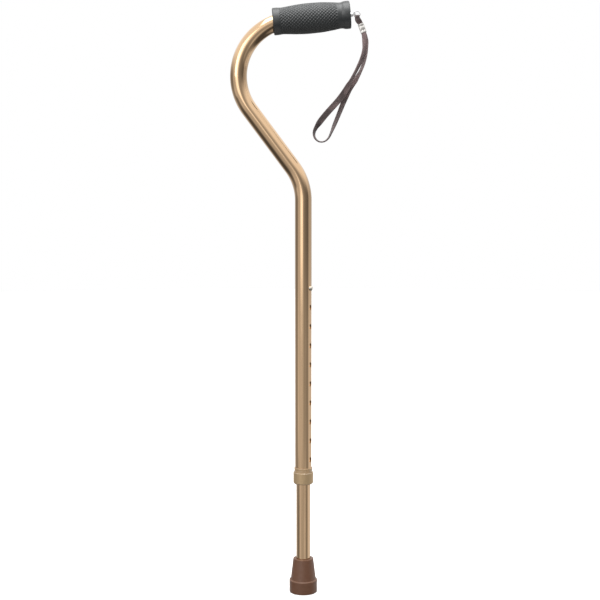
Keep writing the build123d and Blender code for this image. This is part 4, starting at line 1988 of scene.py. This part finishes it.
@dataclass
class Studio:
    """The camera, the soft lights, the pale surroundings and the floor."""

    camera_distance: float = 1.5
    camera_height: float = 0.508
    camera_side: float = -0.0044
    camera_pitch: float = math.radians(3.35)
    camera_shift: float = -0.035
    lens: float = 68.15
    floor_radius: float = 6.0
    sky: tuple[tuple[float, float], ...] = (
        (-180, 0.80), (-140, 0.75), (-124, 0.60), (-108, 0.36), (-96, 0.40), (-87, 0.54),
        (-68, 0.92), (-52, 0.80), (-22, 0.84), (-7, 0.74), (7, 0.56), (22, 0.47),
        (38, 0.52), (52, 0.36), (68, 0.48), (87, 1.00), (108, 0.90), (140, 0.92),
        (180, 0.80),
    )
    low_sky: tuple[tuple[float, float], ...] = (
        (-180, 0.80), (-140, 0.90), (-118, 0.60), (-98, 0.30), (-72, 0.32), (-50, 0.90),
        (-30, 0.68), (0, 0.66), (15, 0.76), (29, 0.90), (50, 0.36), (70, 0.50),
        (84, 0.90), (97, 1.07), (134, 0.98), (180, 0.80),
    )
    horizon_floor: float = 0.5
    horizon_rise: tuple[float, float] = (-0.13, -0.04)
    sinking: tuple[float, float] = (-0.19, -0.26)
    key_level: float = 1.3
    key_rise: tuple[float, float] = (-0.11, -0.02)
    key_fall: tuple[float, float] = (0.5, 0.3)
    bands: tuple[tuple[float, float, float], ...] = (
        (0.10, 0.50, 1.4),
        (-0.28, -0.60, 0.10),
        (-0.74, -0.93, 0.7),
    )
    tint: tuple[float, ...] = (1.0, 0.985, 0.965, 1.0)
    white: tuple[float, ...] = (1.0, 1.0, 1.0, 1.0)
    brightest: float = 3.0
    sensor: float = 36.0
    lights: tuple[tuple, ...] = (
        ("overhead", (0.0, -0.5, 2.6), (0.0, 0.0, 0.3), 2.0, 55.0),
        ("front_left", (-1.4, -1.8, 1.5), (0.0, 0.0, 0.4), 1.2, 10.0),
    )
    key_light: tuple[tuple[float, float], ...] = (
        (-180, 0.0), (-52, 0.0), (-38, 0.6), (-26, 1.0), (-12, 0.9), (-2, 0.0),
        (180, 0.0),
    )

    def place_camera(self) -> None:
        """Makes the camera and gives it to the scene."""
        data = bpy.data.cameras.new("camera")
        data.lens = self.lens
        data.sensor_width = self.sensor
        data.shift_y = self.camera_shift
        camera = bpy.data.objects.new("camera", data)
        camera.location = (self.camera_side, -self.camera_distance, self.camera_height)
        camera.rotation_euler = (math.pi / 2 - self.camera_pitch, 0.0, 0.0)
        bpy.context.scene.collection.objects.link(camera)
        bpy.context.scene.camera = camera

    def brightness(self, graph: Graph, angle: Value, keys: Sequence[tuple[float, float]]) -> Value:
        """Reads a brightness by compass angle.

        Args:
            graph: The world's graph.
            angle: The angle's output, in radians.
            keys: Angles in degrees, each with its brightness.

        Returns:
            The brightness.
        """
        node = graph.add("ShaderNodeFloatCurve")
        curve = node.mapping.curves[0]
        for index, (degrees, bright) in enumerate(keys):
            place = ((degrees + 180) / 360, bright / self.brightest)
            if index < 2:
                curve.points[index].location = place
            else:
                curve.points.new(*place)
        node.mapping.update()
        turned_share = graph.math("MULTIPLY_ADD", angle, 1 / FULL_TURN, 0.5)
        graph.feed(node.inputs["Value"], turned_share)
        return graph.math("MULTIPLY", node.outputs["Value"], self.brightest)

    def surround(self) -> None:
        """Makes the surroundings: plain white to the camera, soft light and shade to everything else."""
        world = bpy.data.worlds.new("studio")
        bpy.context.scene.world = world
        world.use_nodes = True
        graph = Graph(world.node_tree)
        world.node_tree.nodes.clear()
        x, y, z = graph.parts(graph.add("ShaderNodeTexCoord").outputs["Generated"])
        angle = graph.math("ARCTAN2", x, graph.math("MULTIPLY", y, -1.0))
        high = self.brightness(graph, angle, self.sky)
        low = self.brightness(graph, angle, self.low_sky)
        sunk = graph.ramp(z, *self.sinking)
        kept = graph.math("MULTIPLY", high, graph.math("SUBTRACT", 1.0, sunk))
        base = graph.math("MULTIPLY_ADD", low, sunk, kept)
        haze = graph.math("MULTIPLY", graph.ramp(z, *self.horizon_rise), self.horizon_floor)
        base = graph.math("MAXIMUM", base, haze)
        key = self.brightness(graph, angle, self.key_light)
        shown = graph.math("MULTIPLY", graph.ramp(z, *self.key_rise), graph.ramp(z, *self.key_fall))
        shown = graph.math("MULTIPLY", shown, self.key_level)
        level = graph.math("ADD", base, graph.math("MULTIPLY", key, shown))
        for begin, full, target in self.bands:
            share = graph.ramp(z, begin, full)
            kept = graph.math("MULTIPLY", level, graph.math("SUBTRACT", 1.0, share))
            level = graph.math("MULTIPLY_ADD", share, target, kept)
        light = graph.add("ShaderNodeBackground")
        graph.set(light, Strength=level, Color=self.tint)
        plain = graph.add("ShaderNodeBackground")
        graph.set(plain, Strength=1.0, Color=self.white)
        mixed = graph.add("ShaderNodeMixShader")
        graph.feed(mixed.inputs[0], graph.add("ShaderNodeLightPath").outputs["Is Camera Ray"])
        graph.feed(mixed.inputs[1], light.outputs[0])
        graph.feed(mixed.inputs[2], plain.outputs[0])
        graph.feed(graph.add("ShaderNodeOutputWorld").inputs["Surface"], mixed.outputs[0])

    def hang_light(self, name: str, place: Vector, target: Vector, size: float, power: float) -> None:
        """Hangs one square soft light.

        Args:
            name: Its name.
            place: Where it hangs.
            target: What it faces.
            size: Its side in metres.
            power: Its power in watts.
        """
        data = bpy.data.lights.new(name, "AREA")
        data.size = size
        data.energy = power
        lamp = bpy.data.objects.new(name, data)
        lamp.location = place
        lamp.rotation_euler = (target - place).to_track_quat("-Z", "Y").to_euler()
        lamp.visible_camera = False
        bpy.context.scene.collection.objects.link(lamp)

    def lay_floor(self) -> None:
        """Lays the pale floor."""
        work = bmesh.new()
        bmesh.ops.create_circle(work, cap_ends=True, segments=96, radius=self.floor_radius)
        piece = closed_piece("floor", work)
        material, graph, shader = begin_material("pale_floor")
        place = graph.add("ShaderNodeTexCoord").outputs["Object"]
        tone = graph.ramp(graph.noise(place, 3.0, 2.0), 0.3, 0.7)
        graph.set(
            shader,
            Base_Color=graph.blend(tone, (0.93, 0.93, 0.93), (0.95, 0.95, 0.95)),
            Roughness=0.9,
        )
        piece.data.materials.append(material)
        piece.visible_glossy = False
        piece.visible_diffuse = False

    def build(self) -> None:
        """Sets the whole studio up."""
        bpy.context.scene.view_settings.view_transform = "Standard"
        self.place_camera()
        self.surround()
        for name, place, target, size, power in self.lights:
            self.hang_light(name, Vector(place), Vector(target), size, power)
        self.lay_floor()
        log.info("studio: camera, %d lights, surroundings and floor", len(self.lights))


# ---------------------------------------------------------------- the cane


def redress_kept_nodes(frame: dict, wardrobe: Wardrobe) -> None:
    """Gives the frame's own small parts their materials.

    Args:
        frame: What the frame loader gave.
        wardrobe: Where the materials come from.
    """
    kept = {
        "handle_end_plug": Slot.PLASTIC,
        "pin_nut": Slot.STEEL,
        "strap_pin": Slot.CHROME,
        "tip_washer": Slot.STEEL,
        "snap_button": Slot.BUTTON,
    }
    for node, slot in kept.items():
        redress_node(frame, node, wardrobe, slot)


def main() -> None:
    """Builds the cane and its studio."""
    logging.basicConfig(level=logging.INFO, format="%(name)s: %(message)s")
    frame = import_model()
    Studio().build()
    wardrobe = Wardrobe()
    end = HandleEnd()
    drill = hole_row_tree()
    WristStrap().build(end, wardrobe, webbing_tree())
    JumpRing().build(wardrobe, end)
    HandleTube().build(wardrobe, drill)
    LowerTube().build(wardrobe, drill)
    HandGrip().build(wardrobe, end, cross_hatch_tree())
    CollarAndBush().build(wardrobe, thread_tree())
    RubberTip().build(wardrobe)
    LeafSpring().build(frame, wardrobe)
    redress_kept_nodes(frame, wardrobe)


if __name__ == "__main__":
    main()
